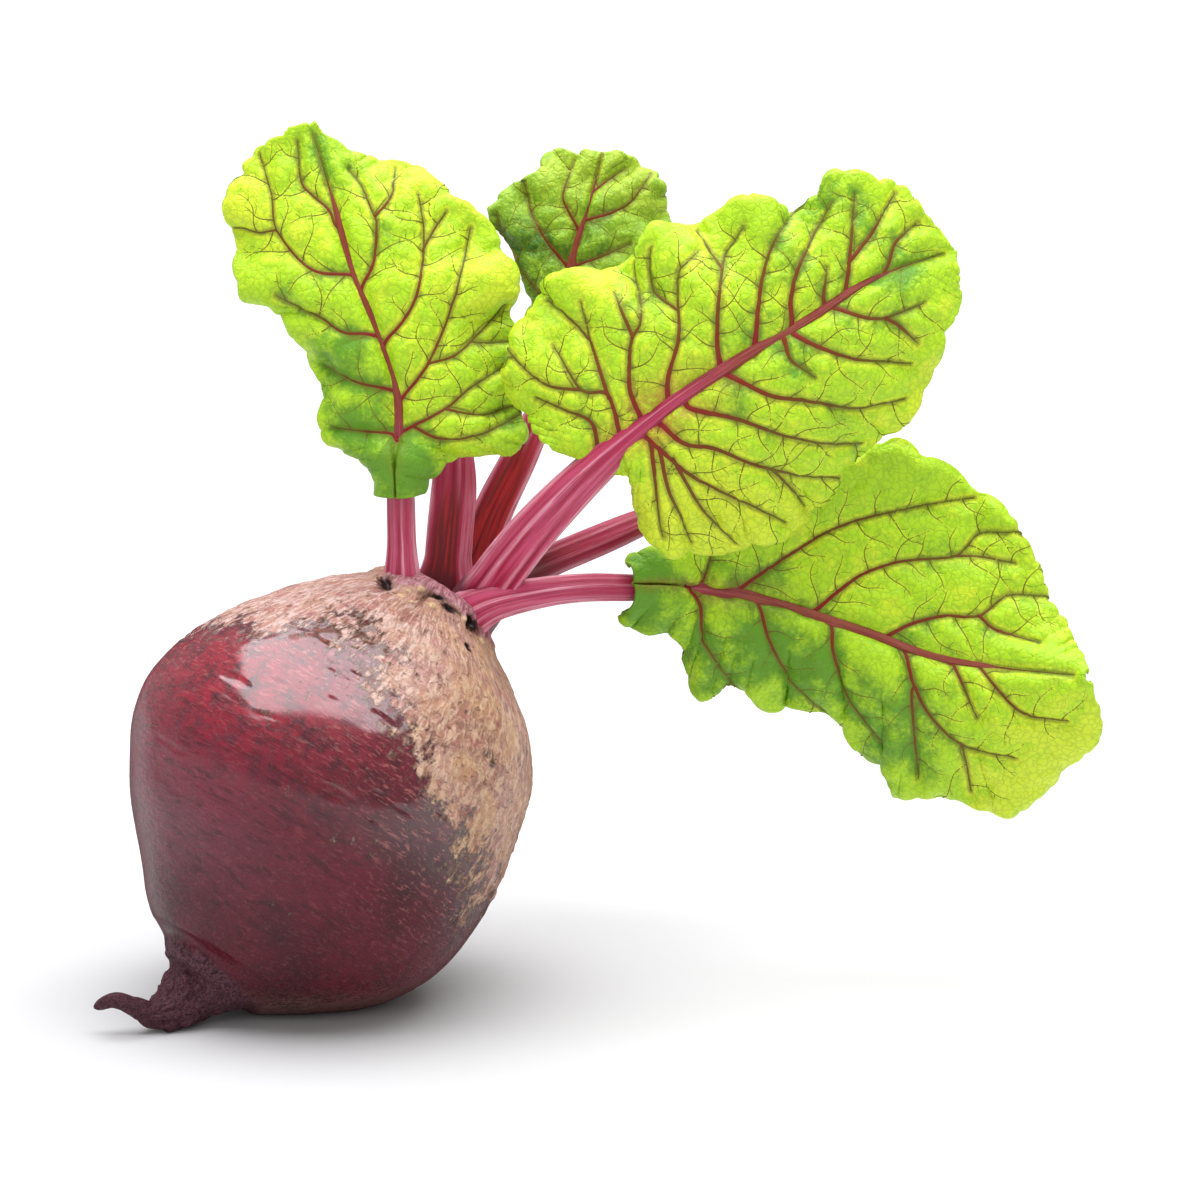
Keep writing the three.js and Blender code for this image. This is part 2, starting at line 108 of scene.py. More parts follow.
LEAVES = {
    "left": {
        "spine": [
            [15, 9, 80], [15, 7, 92], [15, 5, 103], [15, 3.5, 114], [14.5, 3, 124], [11, 3.5, 135],
            [6, 6, 147], [2.5, 9.5, 159], [-2.5, 15, 174.5],
        ],
        "from": 2, "rows": 30, "midrib": 27, "flat": 0.9, "channel": 0.1, "cover": 3, "slim": 0.42,
        "brown": 0.2, "vein": 0.66, "shaded": 1, "flare": 0.15, "rosy": 0.12,
        "stalk": [[0, 4.2], [0.5, 3], [2, 2.7], [3, 2.3], [4, 1.8], [5, 1.3], [7.4, 0.6]],
        "up": [-0.2, -0.96, 0.1],
        "left": [
            [11, 5, 103], [9, 6, 109.5], [-0.5, 9, 113], [-1.5, 8, 121], [-3.5, 12, 128.5], [-8, 10, 136],
            [-12.5, 14, 140.5], [-18.5, 12, 143.5], [-18.5, 16, 151.5], [-20.5, 14, 159.5], [-16.5, 17, 167],
            [-9, 16, 173], [-2.5, 15, 174.5],
        ],
        "right": [
            [19, 5, 103.5], [21, 5, 107], [27, 7, 110.5], [39.5, 5, 112], [40, 9, 120], [37.5, 7, 128.5],
            [38.5, 11, 136], [39.5, 8, 145.5], [35, 13, 153.5], [27.5, 11, 162], [16, 15, 167.5],
            [4.5, 14, 170], [-2.5, 15, 174.5],
        ],
        "tones": [
            [326, 154, 35, 0.52], [388, 239, 24, 0.38], [318, 300, 45, 0.38], [350, 370, 44, 0.62],
            [350, 435, 34, 0.5], [402, 480, 40, 1.2], [424, 462, 26, 0.6], [300, 232, 40, -0.3],
            [508, 412, 42, 0.45], [240, 207, 38, -0.4], [420, 180, 36, -0.32], [490, 290, 38, -0.32],
        ],
        "scallops": 9, "arch": 1.5, "grid": (190, 146),
        "veins": [
            [[350, 275], [321, 273], [302, 262], [283, 240], [275, 224], [272, 195], [264, 166]],
            [[275, 230], [262, 232], [248, 229]],
            [[335, 224], [329, 210], [312, 195], [302, 182], [299, 154]],
            [[366, 334], [343, 332], [321, 316], [289, 300]],
            [[385, 388], [359, 382], [337, 371]],
            [[391, 434], [366, 431], [347, 428]],
            [[364, 284], [374, 262], [377, 227], [375, 217], [363, 189], [356, 179]],
            [[375, 217], [391, 198], [394, 182]],
            [[388, 339], [404, 320], [417, 294], [423, 256], [423, 227], [420, 208]],
            [[423, 250], [430, 236], [439, 222]],
            [[404, 396], [426, 367], [442, 332], [455, 294], [465, 256], [468, 240]],
            [[430, 363], [455, 355], [477, 335], [497, 313]],
            [[474, 342], [488, 343], [503, 342]],
            [[404, 431], [445, 409], [471, 387], [497, 371]],
            [[449, 410], [481, 415], [512, 406]],
            [[417, 428], [442, 438], [481, 434], [519, 415]],
        ],
    },
    "right": {
        "spine": [
            [27, 15, 74], [38, 4, 91], [47, -3, 102.5], [57, -7.5, 113], [68.5, -10, 123], [81, -11, 131.5],
            [94, -10, 139], [107, -6, 146.5], [123, 3, 151],
        ],
        "from": 2.7, "rows": 32, "midrib": 29, "flat": 0.6, "channel": 0.45, "vein": 0.98,
        "flare": 0.12, "slim": 0.2, "rosy": 0.9,
        "stalk": [[0, 5], [1, 4.6], [2, 4.2], [3, 3.4], [4, 2.1], [5, 1.6], [6, 1.2], [7.5, 0.6]],
        "up": [0.1, -0.96, 0.25],
        "left": [
            [50.5, -6, 113.5], [43, -3, 115.5], [36, 2, 122.5], [35, -1, 131.5], [39, 3, 139],
            [46, -1, 148.5], [57, 2, 148.5], [62, -3, 156], [72.5, 1, 158.5], [83.5, -4, 164], [92, 1, 160],
            [99, -2, 167.5], [110, 3, 166], [118.5, 2, 158.5], [123, 3, 151],
        ],
        "right": [
            [60, -7, 109], [65, -6, 108], [63.5, -3, 98.5], [68.5, -7, 91.5], [78, -2, 91], [88, -6, 93.5],
            [97, -1, 98], [102.5, -5, 106.5], [108, 0, 111.5], [114, -3, 116.5], [119.5, 1, 124.5],
            [123, -1, 134], [125, 3, 140.5], [124, 2, 146], [123, 3, 151],
        ],
        "tones": [
            [537, 355, 52, -0.48], [594, 286, 42, -0.4], [781, 520, 62, -0.5], [906, 427, 46, -0.32],
            [686, 505, 56, -0.8], [906, 280, 36, 0.52], [650, 305, 22, 0.3], [612, 324, 20, 0.3],
            [797, 355, 27, 0.38], [744, 389, 26, 0.38], [687, 430, 20, 0.3], [837, 183, 26, 0.26],
            [675, 467, 25, 0.26],
        ],
        "scallops": 11, "arch": 1.8, "grid": (208, 164),
        "veins": [
            [[620, 435], [608, 395], [582, 390], [560, 356]],
            [[608, 395], [594, 350], [585, 314]],
            [[582, 390], [550, 386], [525, 368], [513, 355]],
            [[592, 342], [575, 322], [557, 308]],
            [[598, 446], [592, 422], [568, 410], [548, 402]],
            [[640, 415], [630, 387], [632, 342], [641, 320], [637, 275]],
            [[633, 336], [626, 320], [619, 305]],
            [[668, 404], [668, 378], [679, 336], [679, 277], [689, 261]],
            [[675, 308], [655, 291], [653, 261]],
            [[720, 367], [717, 336], [723, 263], [737, 238]],
            [[722, 270], [712, 255], [703, 241]],
            [[755, 342], [761, 286], [773, 244], [793, 213]],
            [[791, 325], [791, 297], [801, 261], [827, 213]],
            [[824, 306], [823, 297], [825, 280]],
            [[845, 291], [849, 258], [853, 207]],
            [[849, 262], [870, 235], [888, 204]],
            [[888, 263], [894, 244], [908, 230]],
            [[640, 432], [672, 460], [695, 477], [734, 496], [773, 516]],
            [[660, 450], [669, 491], [686, 530]],
            [[675, 462], [700, 505], [728, 533]],
            [[652, 445], [656, 485], [662, 524]],
            [[662, 425], [683, 443], [717, 449], [756, 465], [798, 474], [826, 477]],
            [[756, 465], [773, 471], [796, 496]],
            [[684, 400], [692, 409], [734, 418], [784, 435], [827, 443], [849, 443]],
            [[722, 373], [734, 378], [770, 395], [804, 400], [855, 407], [891, 401]],
            [[780, 338], [784, 339], [790, 359], [804, 370]],
            [[790, 331], [796, 336], [821, 348], [855, 359], [897, 362]],
            [[827, 306], [835, 308], [863, 317], [885, 318], [911, 308]],
            [[885, 318], [898, 325], [908, 334]],
        ],
    },
    "top": {
        "spine": [
            [25, 20, 74], [32, 28, 93], [39, 31.5, 107], [44.5, 35.5, 119.5], [47.5, 39, 132],
            [49, 41.5, 145], [52.5, 43.5, 156], [55, 46, 166],
        ],
        "from": 3.1, "rows": 24, "midrib": 21, "flat": 0.6, "channel": 0.6, "dark": 1,
        "stalk": [[0, 4.2], [1, 3.9], [2, 3.4], [3, 2.4], [4, 1.7], [5, 1.2], [6.5, 0.6]],
        "up": [-0.1, -0.97, -0.05],
        "left": [
            [41, 36, 122], [40.5, 39, 128], [39.5, 42, 135], [37.5, 41, 143], [34, 44, 149.5],
            [30.5, 43, 155.5], [34, 46, 158.5], [39, 45, 162], [44, 48, 165.5], [49.5, 47, 166.5],
            [55, 46, 166],
        ],
        "right": [
            [49, 36, 120.5], [52, 39, 126.5], [55.5, 42, 132.5], [61, 41, 137.5], [66, 44, 142],
            [69.5, 43, 148.5], [70.5, 46, 153.5], [67.5, 45, 160.5], [63.5, 48, 163.5], [59.5, 47, 166],
            [55, 46, 166],
        ],
        "tones": [
            [540, 280, 36, 0.38], [519, 239, 30, 0.3], [578, 177, 36, -0.48], [640, 192, 34, -0.48],
            [600, 240, 20, 0.22],
        ],
        "scallops": 6, "arch": 1.2, "grid": (140, 110),
        "veins": [
            [[563, 262], [544, 237], [532, 214], [528, 195]],
            [[578, 230], [567, 208], [563, 195], [570, 173]],
            [[548, 300], [525, 275], [512, 256], [501, 227]],
            [[586, 221], [611, 213], [630, 202], [643, 186]],
            [[597, 189], [606, 182], [614, 176]],
            [[570, 268], [595, 259], [618, 249]],
        ],
    },
    "low": {
        "spine": [
            [24, 12, 73.5], [32, 8, 79.3], [43, 7, 82], [51.5, 10, 82.3], [60, 14, 81.5], [71.5, 17.5, 80.5],
            [84, 19.5, 78.5], [97, 20, 74.5], [110, 19, 70.5], [122, 17.5, 66.5], [135, 14, 65],
            [152.5, 8, 64.5],
        ],
        "from": 4, "rows": 32, "midrib": 29, "flat": 0.75, "channel": 0.3, "cover": 2.6, "brown": 0.1,
        "vein": 0.78, "shaded": 1, "flare": 0.25,
        "stalk": [[0, 4.2], [1, 3.8], [2, 3], [4, 2.7], [5, 2.2], [6, 1.8], [8, 1.2], [10.4, 0.6]],
        "up": [0.1, -0.88, 0.45],
        "left": [
            [60, 14, 86], [61.5, 16, 88.5], [75.5, 19, 93.5], [90, 21, 101.5], [103, 24, 107.5],
            [116, 23, 110.5], [129, 27, 102.5], [139, 24, 95], [145.5, 22, 82.5], [150.5, 17, 71],
            [152.5, 8, 64.5],
        ],
        "right": [
            [60, 14, 77], [59.5, 17, 72.5], [70, 18, 69.5], [74.5, 23, 55.5], [82, 20, 58.5],
            [90.5, 25, 52.5], [101, 22, 53], [108, 27, 43.5], [113.5, 24, 40], [116.5, 28, 32.5],
            [129, 24, 33.5], [139, 26, 29.5], [149.5, 20, 39], [156.5, 14, 51], [152.5, 8, 64.5],
        ],
        "tones": [
            [645, 575, 36, 1.1], [640, 616, 32, 0.8], [1010, 605, 40, 0.3], [749, 645, 50, 0.5],
            [809, 669, 50, 0.5], [700, 680, 40, 0.45], [862, 712, 46, 0.52], [908, 762, 44, 0.5],
            [859, 505, 50, 0.2], [769, 569, 34, 0.2], [870, 560, 40, -0.4], [1025, 579, 52, -0.32],
            [862, 612, 30, -0.32], [1058, 745, 52, -0.32], [991, 778, 50, -0.32],
        ],
        "scallops": 10, "arch": 1.8, "grid": (208, 164),
        "veins": [
            [[690, 588], [700, 585], [710, 558]],
            [[738, 589], [790, 554], [838, 527], [886, 513], [934, 503], [962, 499]],
            [[817, 609], [841, 589], [865, 573], [903, 561], [955, 556], [979, 534], [1010, 532]],
            [[955, 556], [980, 557], [1003, 561]],
            [[893, 633], [914, 623], [945, 616], [979, 616], [1007, 596], [1038, 596]],
            [[979, 616], [996, 630], [1027, 640]],
            [[690, 592], [700, 606], [704, 640], [728, 678]],
            [[750, 594], [759, 609], [769, 640], [786, 671], [814, 702]],
            [[824, 618], [831, 627], [834, 658], [852, 702], [876, 733]],
            [[900, 645], [907, 658], [914, 685], [934, 720], [962, 744], [1003, 754]],
            [[962, 744], [966, 760], [969, 778]],
            [[912, 692], [914, 730], [917, 764]],
            [[950, 664], [955, 668], [972, 706]],
            [[978, 665], [983, 671], [1003, 695], [1024, 713], [1055, 718]],
        ],
    },
    "behind_left": {
        "spine": [
            [22.5, 16, 74], [24, 19, 91], [25, 22, 103], [24.5, 26, 116.5], [22, 30, 131.5], [18, 36, 149],
        ],
        "from": 2.6, "rows": 18, "midrib": 15, "flat": 0.55, "channel": 0.7, "dark": 1, "rim": 1,
        "stalk": [[0, 4.6], [1, 4.6], [2, 4.3], [3, 2.4], [4.6, 0.6]],
        "up": [0.15, -0.97, 0.1],
        "left": [
            [20, 24.5, 111], [14, 26, 117], [11, 29, 125], [9, 31, 133], [9, 35, 141], [13, 36, 147],
            [18, 36, 149],
        ],
        "right": [
            [29.8, 24.5, 111], [33.5, 28, 116], [36, 30, 124], [35, 34, 132], [31, 36, 140], [25, 38, 147],
            [18, 36, 149],
        ],
        "scallops": 5, "arch": 1.2, "grid": (90, 70), "veins": [],
    },
    "behind_right": {
        "spine": [
            [24, 16.5, 74], [32, 18, 80.5], [44.5, 21, 85.8], [58.5, 25, 91], [72, 31, 96], [86, 37, 104],
            [104, 43, 118],
        ],
        "from": 3.8, "rows": 18, "midrib": 15, "flat": 0.7, "channel": 0.5, "dark": 0.8, "shaded": 40,
        "stalk": [[0, 3.6], [1, 3.6], [2, 3.2], [3, 3], [4, 2], [5.6, 0.6]],
        "up": [0, -0.93, 0.35],
        "left": [
            [68, 30, 99], [70, 33, 105], [76, 37, 113], [85, 41, 119], [94, 43, 123], [101, 44, 122],
            [104, 43, 118],
        ],
        "right": [
            [71, 30, 91], [78, 35, 91], [87, 37, 94], [95, 41, 99], [101, 42, 105], [105, 44, 112],
            [104, 43, 118],
        ],
        "scallops": 5, "arch": 1.2, "grid": (90, 70), "veins": [],
    },
}

# Camera, in millimetres.
TARGET = np.array([54.5, 0, 82])
DISTANCE = 792
ELEVATION = np.radians(12)
LENS = 120
SENSOR = 36
VIEW_WIDTH = 1200


# Curves and noise

def unit(vectors):
    """Each vector over its own length."""
    return vectors / np.maximum(np.linalg.norm(vectors, axis=-1, keepdims=True), 1e-12)


def curve(points, at, slope=False):
    """Smooth curve through points, at counted in points: between b and c, with a before and d after them,
    half of 2b + (c-a)f + (2a-5b+4c-d)f^2 + (3b-a-3c+d)f^3. Beyond an end a point is mirrored. slope gives
    the direction along it instead."""
    p = np.asarray(points, float)
    at = np.clip(np.asarray(at, float), 0, len(p) - 1)
    i = np.minimum(at.astype(int), len(p) - 2)
    f = (at - i)[..., None]
    p = np.vstack([2 * p[0] - p[1], p, 2 * p[-1] - p[-2]])
    a, b, c, d = p[i], p[i + 1], p[i + 2], p[i + 3]
    linear, square, cube = c - a, 2 * a - 5 * b + 4 * c - d, 3 * b - a - 3 * c + d
    if slope:
        return 0.5 * (linear + 2 * square * f + 3 * cube * f ** 2)
    return 0.5 * (2 * b + linear * f + square * f ** 2 + cube * f ** 3)


def smooth(pairs, at):
    """Cubic through given [place, value] pairs whose slope at a pair is that between its neighbours."""
    x, y = np.asarray(pairs, float).T
    at = np.clip(at, x[0], x[-1])
    before = np.maximum(np.arange(len(x)) - 1, 0)
    after = np.minimum(np.arange(len(x)) + 1, len(x) - 1)
    slope = (y[after] - y[before]) / (x[after] - x[before])
    i = np.clip(np.searchsorted(x, at, side="right") - 1, 0, len(x) - 2)
    span = x[i + 1] - x[i]
    t = (at - x[i]) / span
    return (
        y[i] * (1 + 2 * t) * (1 - t) ** 2
        + slope[i] * span * t * (1 - t) ** 2
        + y[i + 1] * t * t * (3 - 2 * t)
        - slope[i + 1] * span * t * t * (1 - t)
    )


def ease(value, low, high):
    """0 below low, 1 above high and 3t^2 - 2t^3 between; low may be the greater of the two."""
    t = np.clip((value - low) / (high - low), 0, 1)
    return t * t * (3 - 2 * t)


def noise(places, seed=0, octaves=1):
    """Value noise between -1 and 1: whole-number places get values from a hash of their place and the seed,
    and the eight around a place are blended by 3t^2 - 2t^3. Each further octave is half as wide and adds
    half as much."""
    total = np.zeros(places.shape[:-1])
    for octave in range(octaves):
        scaled = places * 2 ** octave + 17.3 * octave
        cell = np.floor(scaled).astype(np.int64)
        f = scaled - cell
        f = f * f * (3 - 2 * f)
        for corner in np.ndindex(2, 2, 2):
            x, y, z = np.moveaxis(cell + corner, -1, 0)
            key = (x * 73856093) ^ (y * 19349663) ^ (z * 83492791) ^ ((seed + 7 * octave) * 2654435761)
            key = ((key ^ (key >> 13)) * 1274126177) & 0xFFFFFFFF
            value = ((key ^ (key >> 16)) & 0xFFFF) / 32767.5 - 1
            weight = np.prod(np.where(corner, f, 1 - f), axis=-1)
            total += value * weight * 0.5 ** octave
    return total


# Meshes

def grid_faces(rows, columns, around=False):
    """Quads between neighbouring rows and columns of a grid. With around, its last column joins the first."""
    i, j = np.meshgrid(np.arange(rows - 1), np.arange(columns if around else columns - 1), indexing="ij")
    k = (j + 1) % columns
    quads = np.stack([i * columns + j, i * columns + k, (i + 1) * columns + k, (i + 1) * columns + j], -1)
    return quads.reshape(-1, 4)


def closed_tube(rings):
    """Points and faces of a tube from its rings (rows, sides, 3): quads, and fans to each end's middle."""
    rows, sides = rings.shape[:2]
    points = np.vstack([rings.reshape(-1, 3), rings[0].mean(0), rings[-1].mean(0)])
    j = np.arange(sides)
    k = (j + 1) % sides
    last = (rows - 1) * sides
    start = np.stack([k, j, np.full(sides, rows * sides)], -1)
    end = np.stack([last + j, last + k, np.full(sides, rows * sides + 1)], -1)
    return points, grid_faces(rows, sides, True).tolist() + start.tolist() + end.tolist()


def joined(parts):
    """One points array and face list from several."""
    points = np.vstack([part[0] for part in parts])
    faces = []
    first = 0
    for part in parts:
        faces += [[corner + first for corner in face] for face in part[1]]
        first += len(part[0])
    return points, faces


def piece(name, points, faces, material, slot, stands_for=(), **attributes):
    """A mesh object from points in millimetres, with its material, the nodes that it stands for and one
    number or vector a point for each attribute. slot is not used."""
    mesh = bpy.data.meshes.new(name)
    mesh.from_pydata((np.asarray(points) * MM).tolist(), [], faces)
    mesh.shade_smooth()
    for key, values in attributes.items():
        values = np.asarray(values, np.float32)
        kind, field = ("FLOAT_VECTOR", "vector") if values.ndim == 2 else ("FLOAT", "value")
        mesh.attributes.new(key, kind, "POINT").data.foreach_set(field, values.ravel())
    mesh.materials.append(material)
    thing = bpy.data.objects.new(name, mesh)
    bpy.context.scene.collection.objects.link(thing)
    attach(thing, "root")
    if stands_for:
        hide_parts(*stands_for)


# Shader maths

class Value:
    """A shader socket whose arithmetic adds Math nodes."""

    def __init__(self, paint, socket):
        self.paint = paint
        self.socket = socket

    def math(self, operation, *values):
        return self.paint.node("ShaderNodeMath", dict(enumerate(values)), operation=operation)

    def __add__(self, other):
        return self.math("ADD", self, other)

    def __sub__(self, other):
        return self.math("SUBTRACT", self, other)

    def __rsub__(self, other):
        return self.math("SUBTRACT", other, self)

    def __mul__(self, other):
        return self.math("MULTIPLY", self, other)

    __radd__ = __add__
    __rmul__ = __mul__


class Paint:
    """A material under construction: node() adds any node, and the rest are the few kinds used often. A
    colour is mixed by mix() or, several times over, by layers()."""

    def __init__(self, name):
        self.material = bpy.data.materials.new(name)
        self.material.use_nodes = True
        self.tree = self.material.node_tree
        self.surface = self.tree.nodes["Principled BSDF"]

    def node(self, kind, inputs, output=0, stops=None, **settings):
        node = self.tree.nodes.new(kind)
        for key, value in settings.items():
            setattr(node, key, value)
        if stops:
            while len(node.color_ramp.elements) < len(stops):
                node.color_ramp.elements.new(1)
            for element, (place, colour) in zip(node.color_ramp.elements, stops):
                element.position = place
                element.color = colour
        for key, value in inputs.items():
            self.feed(node.inputs[key], value)
        return Value(self, node.outputs[output])

    def feed(self, socket, value):
        if isinstance(value, Value):
            self.tree.links.new(value.socket, socket)
        else:
            socket.default_value = value

    def attribute(self, name, output="Fac"):
        return self.node("ShaderNodeAttribute", {}, output, attribute_name=name)

    def place(self):
        """Object coordinates in millimetres."""
        place = self.node("ShaderNodeTexCoord", {}, "Object")
        return self.stretch(place, 1000, 1000, 1000)

    def stretch(self, vector, x, y, z):
        return self.node("ShaderNodeVectorMath", {0: vector, 1: (x, y, z)}, operation="MULTIPLY")

    def noise(self, vector, scale, detail=3, roughness=0.5, distortion=0):
        inputs = {"Vector": vector, "Scale": scale, "Detail": detail}
        inputs.update({"Roughness": roughness, "Distortion": distortion})
        return self.node("ShaderNodeTexNoise", inputs)

    def ease(self, value, low, high):
        inputs = {"Value": value, "From Min": low, "From Max": high}
        return self.node("ShaderNodeMapRange", inputs, interpolation_type="SMOOTHSTEP")

    def mix(self, first, second, share):
        inputs = {0: share, 6: first, 7: second}
        return self.node("ShaderNodeMix", inputs, 2, data_type="RGBA")

    def layers(self, base, *coats):
        """A base colour with each coat's (colour, share) mixed over those before."""
        for tint, share in coats:
            base = self.mix(base, tint, share)
        return base

    def bump(self, height, distance):
        """Height times a distance in millimetres, as a change of the surface's direction."""
        return self.node("ShaderNodeBump", {"Height": height, "Distance": distance * MM})

    def finish(self, **inputs):
        for key, value in inputs.items():
            self.feed(self.surface.inputs[key.replace("_", " ")], value)
        return self.material


def colour(red, green, blue):
    """Display colour, 0 to 255, as the linear light that shaders take."""
    shares = np.array([red, green, blue]) / 255
    light = np.where(shares > 0.04045, ((shares + 0.055) / 1.055) ** 2.4, shares / 12.92)
    return (*light.tolist(), 1)


# Materials

def skin_paint():
    """Glossy burgundy skin, crimson on one shoulder, with tan cork over the top and a dark tail. around holds
    (cos turn, sin turn, place along the axis), so that marks run round the root or down from its crown. The
    other attributes are shares: cork, tail, the pit of a scar, the pink round the stalks' feet, and on the
    skin red, a pale sheen, flecks, shine, and a grey tint by the ground; warm turns the cork yellower, and
    knob is the height of the crown's knobs. The pale sheen on the lower belly and the grey tint by the ground
    are painted reflections of the floor; the flecks are partly pale flecks and partly painted glints of the
    highlight on wrinkles. The knobs' cream tops are partly painted light, the gaps between them are painted
    shade, and a scar's pit goes near black as painted shade in its hole."""
    paint = Paint("beet_skin")
    place = paint.place()
    around = paint.attribute("around", "Vector")
    warm = paint.attribute("warm")
    knob = paint.attribute("knob")

    clouds = paint.noise(place, 0.045, 4, 0.55)
    rings = paint.noise(paint.stretch(around, 6, 6, 0.9), 1, 4, 0.6, 0.6)
    dashes = paint.noise(paint.stretch(around, 20, 20, 1.9), 1, 4, 0.6, 0.5)
    grain = paint.noise(place, 1.5, 4, 0.65)
    speck = grain - 0.5
    blotches = paint.noise(place, 0.32, 3, 0.6)
    skin = paint.layers(
        paint.mix(colour(56, 6, 19), colour(90, 12, 32), paint.ease(clouds, 0.35, 0.65)),
        # painted reflection: a pale mauve sheen on the lower belly
        (colour(132, 60, 78), paint.attribute("painted_sheen") * 0.5),
        (colour(146, 16, 42), paint.attribute("red") * paint.ease(blotches, 0.3, 0.6)),
        (colour(52, 8, 16), paint.ease(rings, 0.5, 0.66) * 0.6),
        # pale dashes: partly pale flecks and partly painted glints of the highlight on wrinkles, most in a
        # band below the cork
        (colour(166, 96, 92), paint.ease(dashes, 0.53, 0.66) * (0.15 + paint.attribute("fleck_and_glint") * 0.5)),
        (colour(50, 18, 18), paint.ease(grain, 0.6, 0.7) * 0.5),
    )

    patches = paint.noise(place, 0.13, 3, 0.55)
    streaks = paint.noise(paint.stretch(around, 32, 32, 0.42), 1, 4, 0.62, 0.6)
    flakes = paint.noise(paint.stretch(around, 19, 19, 0.8), 1, 5, 0.7, 1.2)
    pale = paint.mix(colour(214, 184, 178), colour(226, 194, 160), warm)
    bark = paint.layers(
        paint.mix(colour(160, 114, 98), colour(186, 144, 134), paint.ease(clouds, 0.38, 0.62)),
        (colour(168, 98, 98), paint.ease(blotches, 0.48, 0.68) * 0.6),
        (colour(202, 158, 116), paint.ease(patches, 0.42, 0.62) * (0.15 + warm * 0.5)),
        (pale, paint.ease(streaks, 0.44, 0.62) * (0.9 - warm * 0.35)),
        (colour(104, 66, 54), paint.ease(flakes, 0.53, 0.66) * 0.75),
        (colour(212, 180, 160), paint.ease(flakes, 0.45, 0.34) * 0.6),
    )

    ragged = (streaks - 0.5) * 1.1 + (flakes - 0.5) * 1.1 + (blotches - 0.5) * 1.2 + (patches - 0.5) * 1.3
    covered = paint.ease(paint.attribute("cork") + ragged, 0.36, 0.7)
    lilac = paint.ease(streaks + speck * 0.6, 0.38, 0.62)
    lilac = paint.mix(colour(154, 78, 96), colour(204, 150, 162), lilac)
    pink = paint.ease(paint.attribute("pink") + (streaks - 0.5) * 1.1, 0.35, 0.8)
    dark = paint.ease(dashes + speck * 0.5, 0.35, 0.65)
    dark = paint.mix(colour(52, 26, 34), colour(104, 66, 76), dark)
    tail = paint.ease(paint.attribute("tail") + (blotches - 0.5) * 0.6, 0.3, 0.7)
    pit = paint.attribute("pit") + speck * 1.2
    shown = paint.layers(
        paint.mix(skin, bark, covered),
        # tan to cream towards the knobs' tops, partly their own pale colour and partly painted light on the
        # tops; the dark layer in the gaps between them is painted shade
        (colour(190, 146, 122), paint.ease(knob + speck * 0.8, 0.2, 0.6) * 0.8),
        (colour(226, 196, 150), paint.ease(knob + speck * 0.9, 0.65, 1.1) * 0.85),
        (colour(96, 58, 44), paint.ease(knob + speck * 0.8, -0.25, -0.8) * 0.6),
        (lilac, pink * 0.85),
        # painted reflection of the floor on the skin by the ground, broken up by streaks
        (colour(146, 110, 100), paint.attribute("painted_floor_reflection") * paint.ease(streaks + grain, 0.8, 1.2)),
        (dark, tail),
        # a scar's pit: brown tissue that goes near black in the middle as painted shade in its hole
        (colour(96, 56, 44), paint.ease(pit, 0.1, 0.4) * 0.8),
        (colour(30, 12, 9), paint.ease(pit, 0.35, 0.65)),
    )

    height = rings * 0.4 + dashes * 0.45 + grain * 0.1
    height = height + covered * (streaks * 0.9 + flakes * 1.5 + grain * 0.3) + tail * (blotches + grain * 0.5)
    edge_on = paint.node("ShaderNodeLayerWeight", {"Blend": 0.5}, "Facing")
    rough = 0.27 + covered * 0.33 + tail * 0.33 + speck * 0.15 + paint.ease(edge_on, 0.6, 1) * 0.35
    coat = paint.attribute("shine") * (1 - covered * 0.75) * (1 - tail * 0.8)
    coat = coat * (1 - paint.ease(edge_on, 0.5, 0.9))
    return paint.finish(
        Base_Color=shown, Roughness=rough, Normal=paint.bump(height, 0.45), Coat_Weight=coat,
        Coat_Roughness=0.16, Coat_IOR=1.7, Specular_IOR_Level=0.13,
    )


